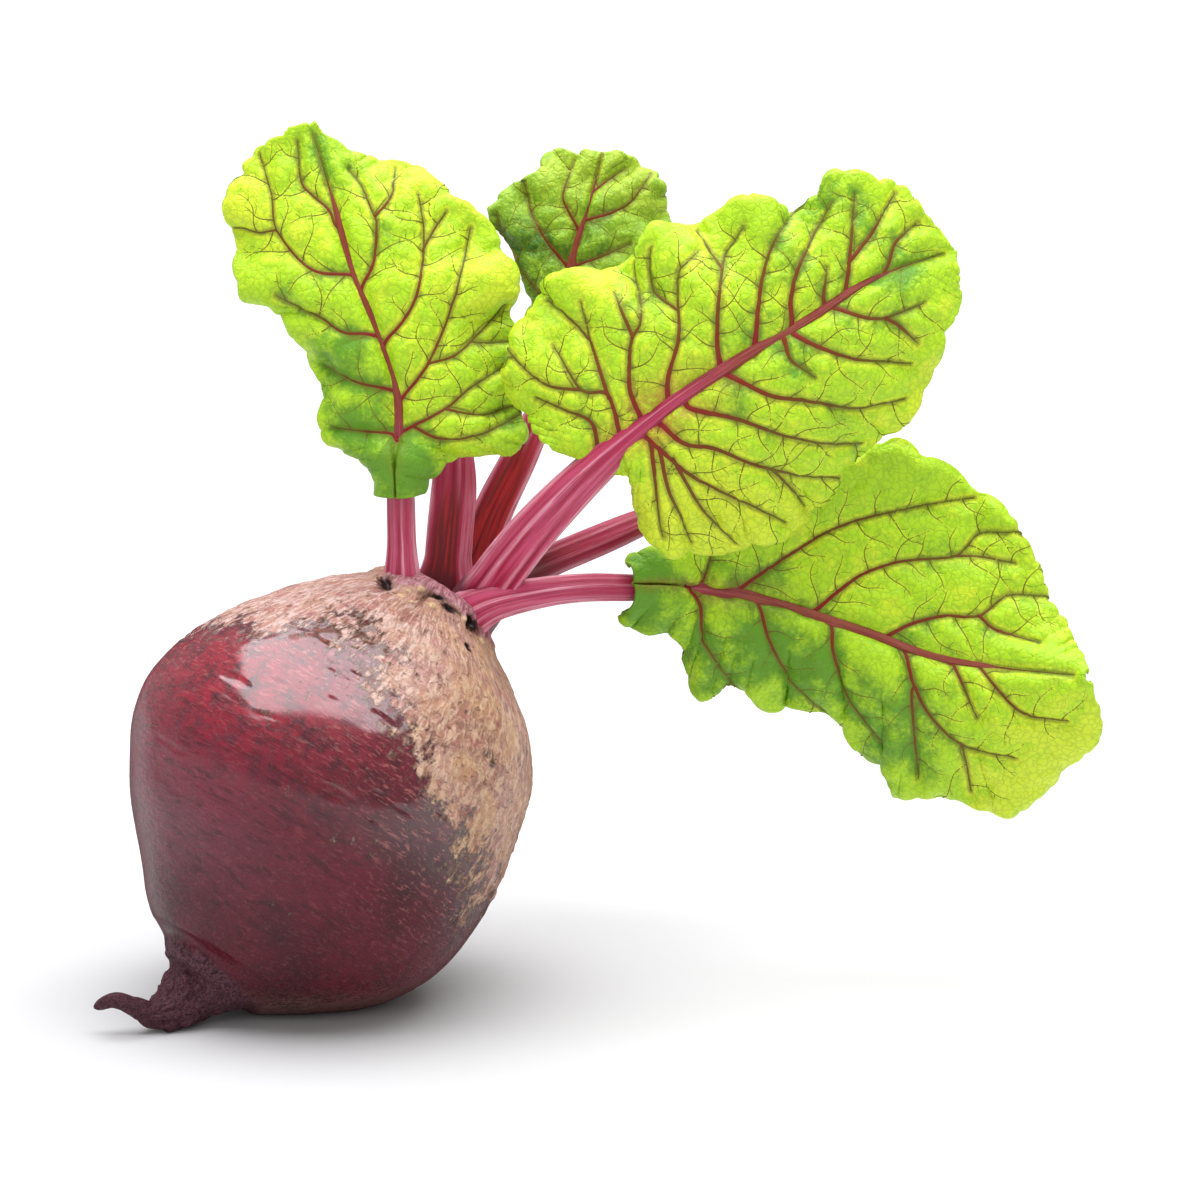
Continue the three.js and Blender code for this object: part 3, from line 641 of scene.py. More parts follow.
def stalk_paint():
    """Magenta stalks with pale ridges: fibre holds (cos turn, sin turn, place along) so that streaks run
    along them, face is how far the surface looks into the channel, dark how deep red that is, ridge the
    height of the ribs with a sheen at the stalk's sides, foot the dark stretch over the crown and reach runs
    from foot to midrib end. The ribs' pale tops are partly their own colour and partly a painted highlight,
    their grooves are darker as painted shade, and the pale sides and lit right rim are a painted sheen. The
    deep red face is partly the stalk's own colour and partly painted shade, and the dark stretch over the
    crown is painted shade between the stalks."""
    paint = Paint("beet_stalk")
    fibre = paint.attribute("fibre", "Vector")
    reach = paint.attribute("reach")
    ridge_and_sheen = paint.attribute("ridge_and_sheen")
    streaks = paint.noise(paint.stretch(fibre, 5, 5, 0.05), 1, 4, 0.6, 0.3)
    fine = paint.noise(paint.stretch(fibre, 16, 16, 0.12), 1, 3, 0.6)
    deep = paint.mix(colour(108, 6, 16), colour(170, 20, 32), paint.ease(streaks, 0.4, 0.62))
    hollow = paint.attribute("dark") * paint.attribute("face") + (streaks - 0.5) * 0.5
    low = paint.attribute("foot") + (streaks - 0.5) * 0.8
    rib = paint.mix(colour(124, 34, 28), colour(154, 76, 44), paint.ease(fine, 0.4, 0.65))
    base = paint.layers(
        paint.mix(colour(164, 24, 66), colour(198, 74, 112), paint.ease(streaks, 0.35, 0.65)),
        # pale rib tops, partly their own colour and partly a painted highlight, and the painted sheen of the
        # sides and rim
        (colour(232, 166, 184), paint.ease(ridge_and_sheen, 0.5, 1) * paint.ease(fine, 0.3, 0.6) * 0.85),
        # darker magenta in the grooves between ribs: painted shade
        (colour(112, 8, 36), paint.ease(ridge_and_sheen, 0.35, 0) * 0.65),
        # deep red on the channel's seen face: partly the stalk's own colour and partly painted shade
        (deep, paint.ease(hollow, 0.25, 0.7)),
        # the dark stretch over the crown: painted shade between the stalks
        (colour(78, 8, 22), paint.ease(low, 0.2, 0.75) * 0.85),
        (colour(156, 10, 62), paint.ease(reach, 0.3, 0.45) * 0.55),
        (rib, paint.ease(reach, 0.5, 0.72) * 0.92),
    )
    height = streaks * 0.5 + fine * 0.4
    return paint.finish(Base_Color=base, Roughness=0.34 + fine * 0.12, Normal=paint.bump(height, 0.35))


def blade_paint(name, light, deep, halo):
    """Leaf tissue: light where it swells and deep in its furrows, painted light and shade on its quilting,
    deep where its shade share is high, olive in the furrow of a main vein as painted shade and yellow beside
    it, red by the midrib's foot, with a net of the finest veins. near is closeness to a vein, swell the
    height between veins, shade how deep the green is, partly the leaf's own greens and partly painted shade
    and light, rosy the share of red."""
    paint = Paint(name)
    place = paint.place()
    near = paint.attribute("near")
    wander = paint.node("ShaderNodeTexNoise", {"Vector": place, "Scale": 0.5, "Detail": 2}, "Color")
    moved = paint.node("ShaderNodeVectorMath", {0: place, 1: paint.stretch(wander, 2.4, 2.4, 2.4)})
    clouds = paint.noise(place, 0.13, 4, 0.6)
    cells = {"Vector": moved, "Scale": 0.62}
    net = paint.node("ShaderNodeTexVoronoi", cells, "Distance", feature="DISTANCE_TO_EDGE")
    fine = paint.noise(place, 1.1, 4, 0.65)
    # painted shade in the furrows and painted light on the swells of the quilting
    hollow = 0.75 - paint.attribute("swell")
    shade = paint.attribute("shade") + (clouds - 0.5) * 1.8 + hollow * 0.6 + (fine - 0.5) * 0.9
    base = paint.layers(
        paint.mix(light, deep, paint.ease(shade, 0.2, 0.95)),
        # yellower where the shade share is low: partly the leaf's own yellow and partly painted light
        (halo, paint.ease(shade, 0.05, -0.45) * 0.55),
        (halo, paint.ease(near, 0.1, 0.45) * paint.ease(shade, 0.9, 0.2) * 0.5),
        (deep, (1 - paint.ease(net, 0, 0.14)) * 0.3),
        # olive beside a main vein: painted shade in its furrow
        (colour(110, 104, 26), paint.ease(near, 0.5, 1) * 0.6),
        (colour(168, 62, 48), paint.attribute("rosy") * paint.ease(clouds + fine, 0.7, 1.1)),
    )
    height = paint.ease(net, 0, 0.25) * 0.2 + fine * 0.45
    return paint.finish(
        Base_Color=base, Roughness=0.46 + fine * 0.12, Normal=paint.bump(height, 0.4),
        Specular_IOR_Level=0.35,
    )


def vein_paint():
    """Veins: crimson by the midrib, red-brown along and olive green in the twigs."""
    paint = Paint("beet_vein")
    age = paint.attribute("age")
    grain = paint.noise(paint.place(), 0.5, 3)
    stops = [
        (0, colour(132, 24, 34)), (0.08, colour(122, 42, 24)), (0.24, colour(110, 64, 24)),
        (0.42, colour(98, 96, 26)), (1, colour(120, 146, 30)),
    ]
    tone = paint.node("ShaderNodeValToRGB", {0: age + (grain - 0.5) * 0.3}, stops=stops)
    return paint.finish(Base_Color=tone, Roughness=0.5, Specular_IOR_Level=0.2)


# Root

def root_piece(material):
    """One surface from the tail's tip to the crown: rings of the profile's radius stand square to the root's
    axis, and below it to the tail's path. The skin adds lumps, wrinkles that run round it, scales on the
    shoulder, and round the crown knobs, scars and a swelling at each stalk's foot. The stub is sunk into
    the tail."""
    down = np.array([0, 0, -1.0])
    under = unit(down - ROOT_AXIS * (down @ ROOT_AXIS))
    body_places = BODY_START + (CROWN_TOP - BODY_START) * np.linspace(0, 1, BODY_RINGS) ** 0.985
    profile = np.array(ROOT_PROFILE)
    fine = curve(profile, np.linspace(0, len(profile) - 1, 1800))
    order = np.argsort(fine[:, 0])
    body_radius = np.maximum(np.interp(body_places, fine[order, 0], fine[order, 1]), 0.02)
    sag = smooth(ROOT_SAG, body_places)
    body_centre = ROOT_CENTRE + ROOT_AXIS * body_places[:, None] + under * sag[:, None]

    joint = [*body_centre[0], body_radius[0]]
    path = np.array([joint] + TAIL)
    steps = np.linspace(len(path) - 1, 0, TAIL_RINGS + 1)[:-1]
    tail = curve(path, steps)
    centre = np.vstack([tail[:, :3], body_centre])
    radius = np.concatenate([np.maximum(tail[:, 3], 0.4), body_radius])
    radius[:4] *= np.array([0.25, 0.65, 0.85, 0.97])
    along = np.gradient(centre, axis=0)
    weight = ease(np.arange(len(centre)), 50, 84)[:, None]
    along = unit(unit(along) * (1 - weight) + ROOT_AXIS * weight)
    first = unit(under - along * (along @ under)[:, None])
    second = np.cross(first, along)

    turn = -2 * np.pi * np.arange(ROOT_SIDES) / ROOT_SIDES
    height = np.concatenate([BODY_START - np.linspace(46, 0.5, TAIL_RINGS), body_places])[:, None]
    turns = np.broadcast_to(turn, (len(centre), ROOT_SIDES))
    oval = 0.012 * np.sin(2 * turns + 1.1 + 0.03 * height)
    uneven = 1 + oval + 0.008 * np.sin(3 * turns + 0.05 * height + 2)
    outward = first[:, None] * np.cos(turns)[..., None] + second[:, None] * np.sin(turns)[..., None]
    reach = radius[:, None] * uneven
    points = centre[:, None] + outward * reach[..., None]

    around = np.stack([np.cos(turns), np.sin(turns), np.broadcast_to(height, turns.shape)], -1)
    on_tail = ease(height, -41, -47)
    crown = ease(height, 33, 44)
    bound = smooth(CORK_BOUND, np.degrees(turns) % 360)
    cork = ease(height - bound + 6 * noise(around * [1.6, 1.6, 0.03], 31, 2), -15, 11)
    lumps = 0.6 * noise(points / 17, 3, 2)
    band = np.exp(-(((height - bound + 7) / 13) ** 2))
    wrinkles = noise(around * [6, 6, 0.55], 5, 2)
    grooves = -0.3 * ease(wrinkles, 0.3, 0.8) * (0.35 + 0.65 * band) * (1 - on_tail)
    scales = 0.3 * noise(around * [20, 20, 0.5], 8, 2) * cork
    twist = 0.9 * noise(around * [2.5, 2.5, 0.25], 21, 3) * on_tail * np.minimum(radius[:, None] / 4, 1)
    relief = (lumps + grooves + scales) * (1 - on_tail) + twist
    relief *= ease(radius, 0, 3)[:, None]
    knob = crown_knobs(points, turns, height) * crown
    relief += (1.2 * knob + 0.3 * noise(points / 0.9, 83)) * crown

    feet = np.zeros(turns.shape)
    for leaf in LEAVES.values():
        spine = curve(leaf["spine"], np.linspace(0, 1.2, 20))
        away = np.min(np.linalg.norm(points[..., None, :] - spine, axis=-1), axis=-1)
        feet = np.maximum(feet, np.exp(-((np.maximum(away - leaf["stalk"][0][1], 0) / 2) ** 2)))
    relief += (0.9 + 0.6 * noise(around * [9, 9, 0.5], 81, 2)) * feet * crown

    seen = to_view(points)
    pit = np.zeros(turns.shape)
    for across, below, long, wide, tilt in SCARS:
        cosine, sine = np.cos(np.radians(tilt)), np.sin(np.radians(tilt))
        x, y = seen[..., 0] - across, seen[..., 1] - below
        square = ((x * cosine - y * sine) / long) ** 2 + ((x * sine + y * cosine) / wide) ** 2
        front = np.linalg.norm(points - seen_place(points, across, below), axis=-1) < 8
        pit = np.maximum(pit, np.exp(-square) * front)
    for across, below, wide in KNOBS:
        away = np.linalg.norm(points - seen_place(points, across, below), axis=-1)
        hill = np.exp(-((away / wide) ** 2))
        knob = knob + 1.3 * hill
        relief += 0.9 * hill
    relief -= 1.2 * pit
    points = points + outward * relief[..., None]
    points[..., 2] = np.maximum(points[..., 2], 0.02)

    degrees = np.degrees(turns) % 360
    far_side = np.exp(-(((degrees - 200) / 45) ** 2))
    red = np.exp(-(((degrees - 165) / 48) ** 2)) * np.exp(-(((height - 8) / 16) ** 2))
    warm = np.exp(-(((degrees - 80) / 42) ** 2))
    shares = {
        # the band of pale dashes is partly flecks and partly painted glints on wrinkles
        "cork": cork, "red": red, "tail": on_tail, "pit": pit, "knob": knob, "fleck_and_glint": band, "warm": warm,
        "pink": np.maximum(ease(height, 42, 47), feet * crown) * (1 - 0.75 * far_side),
        # the last share on this line is a painted reflection of the floor on the skin by the ground
        "shine": 0.2 + 0.7 * ease(height, -14, 6), "painted_floor_reflection": 0.6 * ease(points[..., 2], 11, 2),
        # the last share here is where the pale sheen is painted on the lower belly, a painted reflection
        "painted_sheen": np.exp(-(((degrees - 160) / 34) ** 2) - ((height + 14) / 15) ** 2),
    }
    marks = {key: ended(np.broadcast_to(share, turns.shape)) for key, share in shares.items()}
    marks["around"] = ended(around)

    stub = np.array(TAIL_STUB)
    at = np.linspace(0, len(stub) - 1, 24)
    middle = curve(stub, at)
    along = unit(np.gradient(middle[:, :3], axis=0))
    across = unit(np.cross(along, [0, 1, 0.2]))
    over = np.cross(across, along)
    turn = -2 * np.pi * np.arange(40)[None, :, None] / 40
    side = across[:, None] * np.cos(turn) + over[:, None] * np.sin(turn)
    rings = middle[:, None, :3] + side * middle[:, None, 3:]
    rough = 0.35 * noise(rings / 2.5, 71, 2)[..., None]
    rings = rings + side * rough * np.minimum(middle[:, None, 3:] / 2, 1)
    rings[..., 2] = np.maximum(rings[..., 2], 0.02)
    stub_points, stub_faces = closed_tube(rings)
    whole, faces = joined([closed_tube(points), (stub_points, stub_faces)])
    blank = {key: np.zeros((len(stub_points),) + value.shape[1:]) for key, value in marks.items()}
    blank["tail"] += 1
    piece(
        "beet_root", whole, faces, material, "skin", ["root"],
        **{key: np.concatenate([value, blank[key]]) for key, value in marks.items()},
    )


def crown_knobs(points, turns, height):
    """Scale-like knobs and gaps round the crown: the sum of 260 seeded hills and pits exp(-d^2), each 1 to
    3 mm wide and nearly twice as long down from the crown."""
    random = np.random.default_rng(11)
    total = np.zeros(turns.shape)
    for _ in range(260):
        place = 47.5 - 13 * random.uniform(0, 1) ** 1.5
        turn = random.uniform(0, 2 * np.pi)
        wide = random.uniform(0.6, 1.5)
        tall = random.uniform(0.4, 1) * random.choice([1, 1, -1])
        near = np.abs(height[:, 0] - place) < 6
        ring_radius = np.interp(place, [34, 40, 44, 47.5], [26.5, 19, 13.6, 10])
        gap = (turns[near] - turn + np.pi) % (2 * np.pi) - np.pi
        across = gap * ring_radius / wide
        down = (height[near] - place) / (1.8 * wide)
        total[near] += tall * np.exp(-(across ** 2) - down ** 2)
    return np.clip(total, -1, 0.55)


def ended(field):
    """A grid's values in one row, with the first and last ring's first value again for the end points."""
    if field.ndim == 3:
        return np.vstack([field.reshape(-1, field.shape[2]), field[0, 0], field[-1, 0]])
    return np.append(field.ravel(), [field[0, 0], field[-1, 0]])


def to_view(points):
    """Places [across, down] in the camera's 1200 x 1200 view of points in millimetres."""
    back = np.array([0, -np.cos(ELEVATION), np.sin(ELEVATION)])
    over = np.array([0, np.sin(ELEVATION), np.cos(ELEVATION)])
    offset = points - (TARGET + DISTANCE * back)
    zoom = VIEW_WIDTH * LENS / SENSOR / -(offset @ back)
    return np.stack([VIEW_WIDTH / 2 + offset[..., 0] * zoom, VIEW_WIDTH / 2 - (offset @ over) * zoom], -1)


def seen_place(points, across, down):
    """The point nearest the camera among those within a pixel or two of a place in its view."""
    back = np.array([0, -np.cos(ELEVATION), np.sin(ELEVATION)])
    miss = np.linalg.norm(to_view(points) - (across, down), axis=-1)
    score = np.where(miss < max(3, miss.min() + 1), points @ back - 0.3 * miss, -1e9)
    return points.reshape(-1, 3)[np.argmax(score)]


# Leaves

def spine_frame(leaf, at):
    """Point, along, across and over on a leaf's spine: across is along x up, and over is across x along."""
    point = curve(leaf["spine"], at)
    along = unit(curve(leaf["spine"], at, True))
    across = unit(np.cross(along, leaf["up"]))
    return point, along, across, np.cross(across, along)


def blade_surface(leaf, u, far):
    """Middle surface of a blade: from the spine's point the edge is reached in a straight line, shortened by
    the teeth; the rise off the midrib's plane grows as far^2, the tissue arches by sin(pi far^0.8), less near
    the tip, and where the leaf has a cover its foot passes in front of the stalk by that much."""
    last = len(leaf["spine"]) - 1
    point, along, across, over = spine_frame(leaf, leaf["from"] + u * (last - leaf["from"]))
    halves = []
    for side, phase in [("left", -0.3), ("right", 0.3)]:
        outer = curve(leaf[side], u * (len(leaf[side]) - 1)) - point
        rise = np.sum(outer * over, axis=-1, keepdims=True)
        outer = outer - over * rise
        ends = np.minimum(np.sin(np.pi * u) * 3, 1) ** 1.4
        tooth = np.abs(np.sin(np.pi * (leaf["scallops"] * u + phase))) ** 0.7
        run = np.concatenate([[0], np.cumsum(np.linalg.norm(np.diff(outer, axis=0), axis=1))])
        uneven = noise(np.stack([run / 4, run * 0, run * 0 + 9 * phase], -1), 61, 2)
        small = np.abs(np.sin(np.pi * (run / 3.7 + 0.5 * uneven))) ** 0.6 * (0.75 + 0.5 * uneven)
        length = np.linalg.norm(outer, axis=-1)
        cut = (SCALLOP_DEPTH * (1 - tooth) + TOOTH_DEPTH * (1 - small)) * ends
        outer = unit(outer) * np.maximum(length - cut, 0.05)[:, None]
        share = far[None, :, None]
        cover = ease(u, 0.2, 0.12)[:, None, None] * leaf.get("cover", 0)
        arch = (leaf["arch"] * ends * (1 - 0.7 * ease(u, 0.6, 0.9)))[:, None, None]
        arch = arch * np.sin(np.pi * share ** 0.8)
        lift = rise[:, None] * share ** 2 + arch * (1 - 0.3 * cover) + cover * (1 - share ** 4)
        halves.append(point[:, None] + outer[:, None] * share + over[:, None] * lift)
    left, right = halves
    return np.concatenate([left[:, :0:-1], right], axis=1)


def surface_normals(grid):
    """Cross product of the changes across and along a grid."""
    return unit(np.cross(np.gradient(grid, axis=1), np.gradient(grid, axis=0)))


def sampled(grid, at):
    """Grid values at fractional [row, column] places, blended between the four around each."""
    rows, columns = grid.shape[:2]
    i = np.clip(at[:, 0], 0, rows - 1.001)
    j = np.clip(at[:, 1], 0, columns - 1.001)
    i0, j0 = i.astype(int), j.astype(int)
    fi, fj = (i - i0)[:, None], (j - j0)[:, None]
    near = grid[i0, j0] * (1 - fj) + grid[i0, j0 + 1] * fj
    far = grid[i0 + 1, j0] * (1 - fj) + grid[i0 + 1, j0 + 1] * fj
    return near * (1 - fi) + far * fi


def dropped(view, courses):
    """Fractional grid places of a course in the camera's view: the nearest grid point, moved by the local
    change of view over the grid. Places beyond the blade are left out."""
    flat = view.reshape(-1, 2)
    distance = np.linalg.norm(flat[None] - courses[:, None], axis=-1)
    index = np.argmin(distance, axis=1)
    inside = distance[np.arange(len(courses)), index] < 3.2
    rows, columns = view.shape[:2]
    i, j = index // columns, index % columns
    down = np.gradient(view, axis=0)[i, j]
    over = np.gradient(view, axis=1)[i, j]
    miss = courses - view[i, j]
    area = down[:, 0] * over[:, 1] - down[:, 1] * over[:, 0]
    area = np.where(np.abs(area) < 1e-6, 1e-6, area)
    di = (miss[:, 0] * over[:, 1] - miss[:, 1] * over[:, 0]) / area
    dj = (down[:, 0] * miss[:, 1] - down[:, 1] * miss[:, 0]) / area
    return np.stack([i + np.clip(di, -1, 1), j + np.clip(dj, -1, 1)], -1)[inside]


def resampled(course, step):
    """A course at even steps along its smooth curve."""
    course = np.asarray(course, float)
    fine = curve(course, np.linspace(0, len(course) - 1, 12 * len(course)))
    run = np.concatenate([[0], np.cumsum(np.linalg.norm(np.diff(fine, axis=0), axis=1))])
    at = np.linspace(0, run[-1], max(int(run[-1] / step), 2) + 1)
    return np.stack([np.interp(at, run, fine[:, k]) for k in range(fine.shape[1])], -1)


def rooted(courses, midrib):
    """Smooth courses at even steps, each drawn back to where it starts: a place on the midrib a little nearer
    its foot, or the nearest place on an earlier course if that is closer."""
    done = []
    for course in courses:
        start = np.array(course[0], float)
        away = np.linalg.norm(midrib - start, axis=1)
        source, gap = midrib[max(np.argmin(away) - 4, 0)], away.min()
        for other in done:
            away = np.linalg.norm(other - start, axis=1)
            if away.min() < gap:
                source, gap = other[max(np.argmin(away) - 1, 0)], away.min()
        if gap > 0.5:
            course = [source.tolist()] + course
        line = resampled(course, 2.5)
        onward = unit(line[-1] - line[-4])
        done.append(np.vstack([line, line[-1] + onward * 2.5 * np.arange(1, 6)[:, None]]))
    return done


def twigs(courses, gap, length, random):
    """Side twigs: about every gap along a course one leaves it by 55 to 85 degrees to alternate sides, bends
    towards the course's own direction, and ends where it meets another course."""
    grown = []
    for number, course in enumerate(courses):
        others = np.vstack([c for k, c in enumerate(courses) if k != number]) if len(courses) > 1 else None
        tangent = unit(np.gradient(course, axis=0))
        step = np.linalg.norm(course[1] - course[0])
        at = random.uniform(0.4, 1) * gap / step
        side = random.choice([-1, 1])
        while at < len(course) - 2:
            share = at / len(course)
            direction = np.arctan2(tangent[int(at), 1], tangent[int(at), 0])
            angle = direction + side * np.radians(random.uniform(55, 85))
            bend = -side * np.radians(random.uniform(10, 50))
            size = length * random.uniform(0.5, 1.1) * (1 - 0.35 * share)
            t = np.linspace(0, 1, max(int(size / 2.5), 4))
            heading = angle + bend * t + 0.3 * np.sin(6 * t + random.uniform(0, 6))
            moves = np.stack([np.cos(heading), np.sin(heading)], -1) * size / len(t)
            twig = course[int(at)] + np.cumsum(moves, axis=0) - moves[0]
            if others is not None:
                close = np.min(np.linalg.norm(twig[:, None] - others[None], axis=-1), axis=1)
                met = np.nonzero(close[2:] < 2.5)[0]
                if len(met):
                    twig = twig[: met[0] + 4]
            if len(twig) > 3:
                grown.append(twig)
            at += random.uniform(0.6, 1.3) * gap / step
            side = -side
    return grown


def leaf_pieces(name, leaf, blade_material, stalk_material, vein_material):
    """A leaf's stalk with its midrib, its blade and its veins. A main vein's t is the larger of its own run
    and its distance from the midrib, so that a fork starts as thick and as brown as the vein it leaves."""
    random = np.random.default_rng(len(name) * 7 + 3)
    rows, columns = leaf["grid"]
    u = np.linspace(0, 0.997, rows)
    far = np.linspace(0, 1, columns // 2 + 1)
    grid = blade_surface(leaf, u, far)
    columns = grid.shape[1]
    normal = surface_normals(grid)

    if leaf["veins"]:
        view = to_view(grid)
        main = rooted(leaf["veins"], to_view(grid[:, columns // 2]))
        small = twigs(main, 17, 62, random)
        tiny = twigs(small, 11, 24, random)
        layers = [[dropped(view, course) for course in layer] for layer in (main, small, tiny)]
    else:
        layers = ruled_veins(rows, columns, random)
    widths = [(leaf.get("vein", 0.6), 0.27), (0.28, 0.13), (0.15, 0.08)]
    lines = []
    for order, (layer, (wide, thin)) in enumerate(zip(layers, widths)):
        for course in layer:
            if len(course) > 3:
                t = np.linspace(0, 1, len(course))
                if order == 0:
                    share = np.abs(course[:, 1] * 2 / (columns - 1) - 1)
                    t = np.maximum(np.maximum(t, share), 0.8 * (course[:, 0] / rows) ** 3)
                lines.append((order, course, wide + (thin - wide) * t, t))
    t = np.linspace(0, 1, 40)
    tip_rows = ((leaf["midrib"] / leaf["rows"] - 0.08) * (1 - t) + 0.98 * t) * (rows - 1)
    tip = np.stack([tip_rows, np.full(40, (columns - 1) / 2)], -1)
    lines.append((0, tip, 0.66 - 0.38 * t, 0.2 + 0.7 * t))

    heights, near = quilt(grid, lines)
    edge = np.abs(np.linspace(-1, 1, columns))[None]
    ripple = 0.9 * noise(grid / 5, 41, 2) * edge ** 4
    calm = ease(edge, 0.02, 0.12) * (1 - ease(edge, 0.95, 1))
    blisters = 0.22 * noise(grid / 2.6, 47, 2) * ease(edge, 0.05, 0.2)
    grid = grid + normal * (heights * calm + ripple + blisters + 0.3 * noise(grid / 9, 43, 2))[..., None]
    normal = surface_normals(grid)

    thick = BLADE_HALF_THICKNESS * (1 - 0.55 * ease(edge, 0.9, 1))[..., None]
    front, back = grid + normal * thick, grid - normal * thick
    count = rows * columns
    quads = grid_faces(rows, columns)
    index = np.arange(count).reshape(rows, columns)
    rim = np.concatenate([index[0, :-1], index[:-1, -1], index[-1, :0:-1], index[:0:-1, 0]])
    after = np.roll(rim, -1)
    walls = np.stack([after, rim, rim + count, after + count], -1)
    faces = quads.tolist() + (quads[:, ::-1] + count).tolist() + walls.tolist()
    seen = to_view(grid)
    shade = 0.14 + 0.25 * noise(grid / 24, 51)
    # tone spots of deeper green or yellow: partly the leaf's own greens and partly painted shade and light
    for across, down, wide, amount in leaf.get("tones", []):
        shade = shade + amount * np.exp(-(np.linalg.norm(seen - (across, down), axis=-1) / wide) ** 2)
    rosy = ease(edge, 0.34, 0.04) * ease(u, 0.5, 0.1)[:, None] * leaf.get("rosy", 0.4)
    swell = np.broadcast_to(heights / 1.4 + 0.5 * blisters, shade.shape)
    piece(
        "blade_of_" + name, np.vstack([front.reshape(-1, 3), back.reshape(-1, 3)]), faces, blade_material,
        "blade", ["blade_" + name], near=np.tile(near.ravel(), 2), shade=np.tile(shade.ravel(), 2),
        rosy=np.tile(rosy.ravel(), 2), swell=np.tile(swell.ravel(), 2),
    )
    vein_piece(name, grid, normal, lines, vein_material)
    stalk_piece(name, leaf, stalk_material)


def quilt(grid, lines):
    """Height and closeness to veins: away from a main vein the tissue swells by 0.95 (1 - exp(-(d / 2.8)^2))
    mm and from any vein or twig by 0.55 (1 - exp(-(d / 1.5)^2)), and closeness is exp(-(d / 1.6)^2) to a main
    one and 0.35 exp(-(d / 0.8)^2) to any. A main vein's distance d is divided by 0.45 + 0.64 of its half
    width, so that it shows less where it is thin."""
    flat = grid.reshape(-1, 3)
    nearest = []
    for limit in (0, 1):
        chosen = [line for line in lines if line[0] <= limit]
        marks = np.vstack([sampled(grid, course) for _, course, _, _ in chosen])
        scale = [0.45 + 0.64 * half if order == 0 else np.ones(len(half)) for order, _, half, _ in chosen]
        scale = np.concatenate(scale)
        best = np.full(len(flat), 1e9)
        for start in range(0, len(marks), 400):
            part = marks[start : start + 400]
            square = (flat ** 2).sum(1)[:, None] + (part ** 2).sum(1)[None] - 2 * flat @ part.T
            best = np.minimum(best, (square / scale[start : start + 400] ** 2).min(1))
        nearest.append(np.sqrt(np.maximum(best, 0)).reshape(grid.shape[:2]))
    main, every = nearest
    height = 0.95 * (1 - np.exp(-((main / 2.8) ** 2))) + 0.55 * (1 - np.exp(-((every / 1.5) ** 2)))
    near = np.exp(-((main / 1.6) ** 2)) + 0.35 * np.exp(-((every / 0.8) ** 2))
    return height, np.clip(near, 0, 1)


def ruled_veins(rows, columns, random):
    """Veins of a blade that has no measured ones: seven pairs leave the midrib and curve towards the tip."""
    middle = (columns - 1) / 2
    main = []
    for start in np.linspace(0.05, 0.8, 7):
        for side in (-1, 1):
            t = np.linspace(0.02, 0.95, 26)
            u = start + (0.16 + random.uniform(-0.03, 0.03)) * t ** 1.6 + 0.01 * np.sin(9 * t + start * 30)
            main.append(np.stack([np.clip(u, 0, 0.985) * (rows - 1), middle + side * middle * t], -1))
    small = []
    for course in main:
        for at in range(5, 24, 5):
            t = np.linspace(0, 1, 7)[:, None]
            side = random.choice([-1, 1])
            small.append(course[at] + t * [side * rows * 0.05, (course[-1] - course[0])[1] * 0.08])
    return [main, small, []]


def vein_piece(name, grid, normal, lines, material):
    """Flattened tubes along the veins: nearly flush on the face, and ribs that stand out on the back."""
    parts = []
    ages = []
    turn = -2 * np.pi * np.arange(VEIN_SIDES) / VEIN_SIDES
    for order, course, half, t in lines:
        middle = sampled(grid, course)
        over = unit(sampled(normal, course))
        along = unit(np.gradient(middle, axis=0))
        across = unit(np.cross(along, over))
        over = np.cross(across, along)
        raised = np.where(np.sin(turn) > 0, 0.31 + 0.16 * half[:, None], 0.3 + 0.9 * half[:, None])
        rings = (
            middle[:, None]
            + across[:, None] * (half[:, None] * np.cos(turn))[..., None]
            + over[:, None] * (raised * np.sin(turn))[..., None]
        )
        parts.append(closed_tube(rings))
        age = [0.5 * t, 0.4 + 0.4 * t, 0.7 + 0.3 * t][order]
        ages.append(np.append(np.repeat(age, VEIN_SIDES), [age[0], age[-1]]))
    points, faces = joined(parts)
    piece("veins_of_" + name, points, faces, material, "stalk", age=np.concatenate(ages))


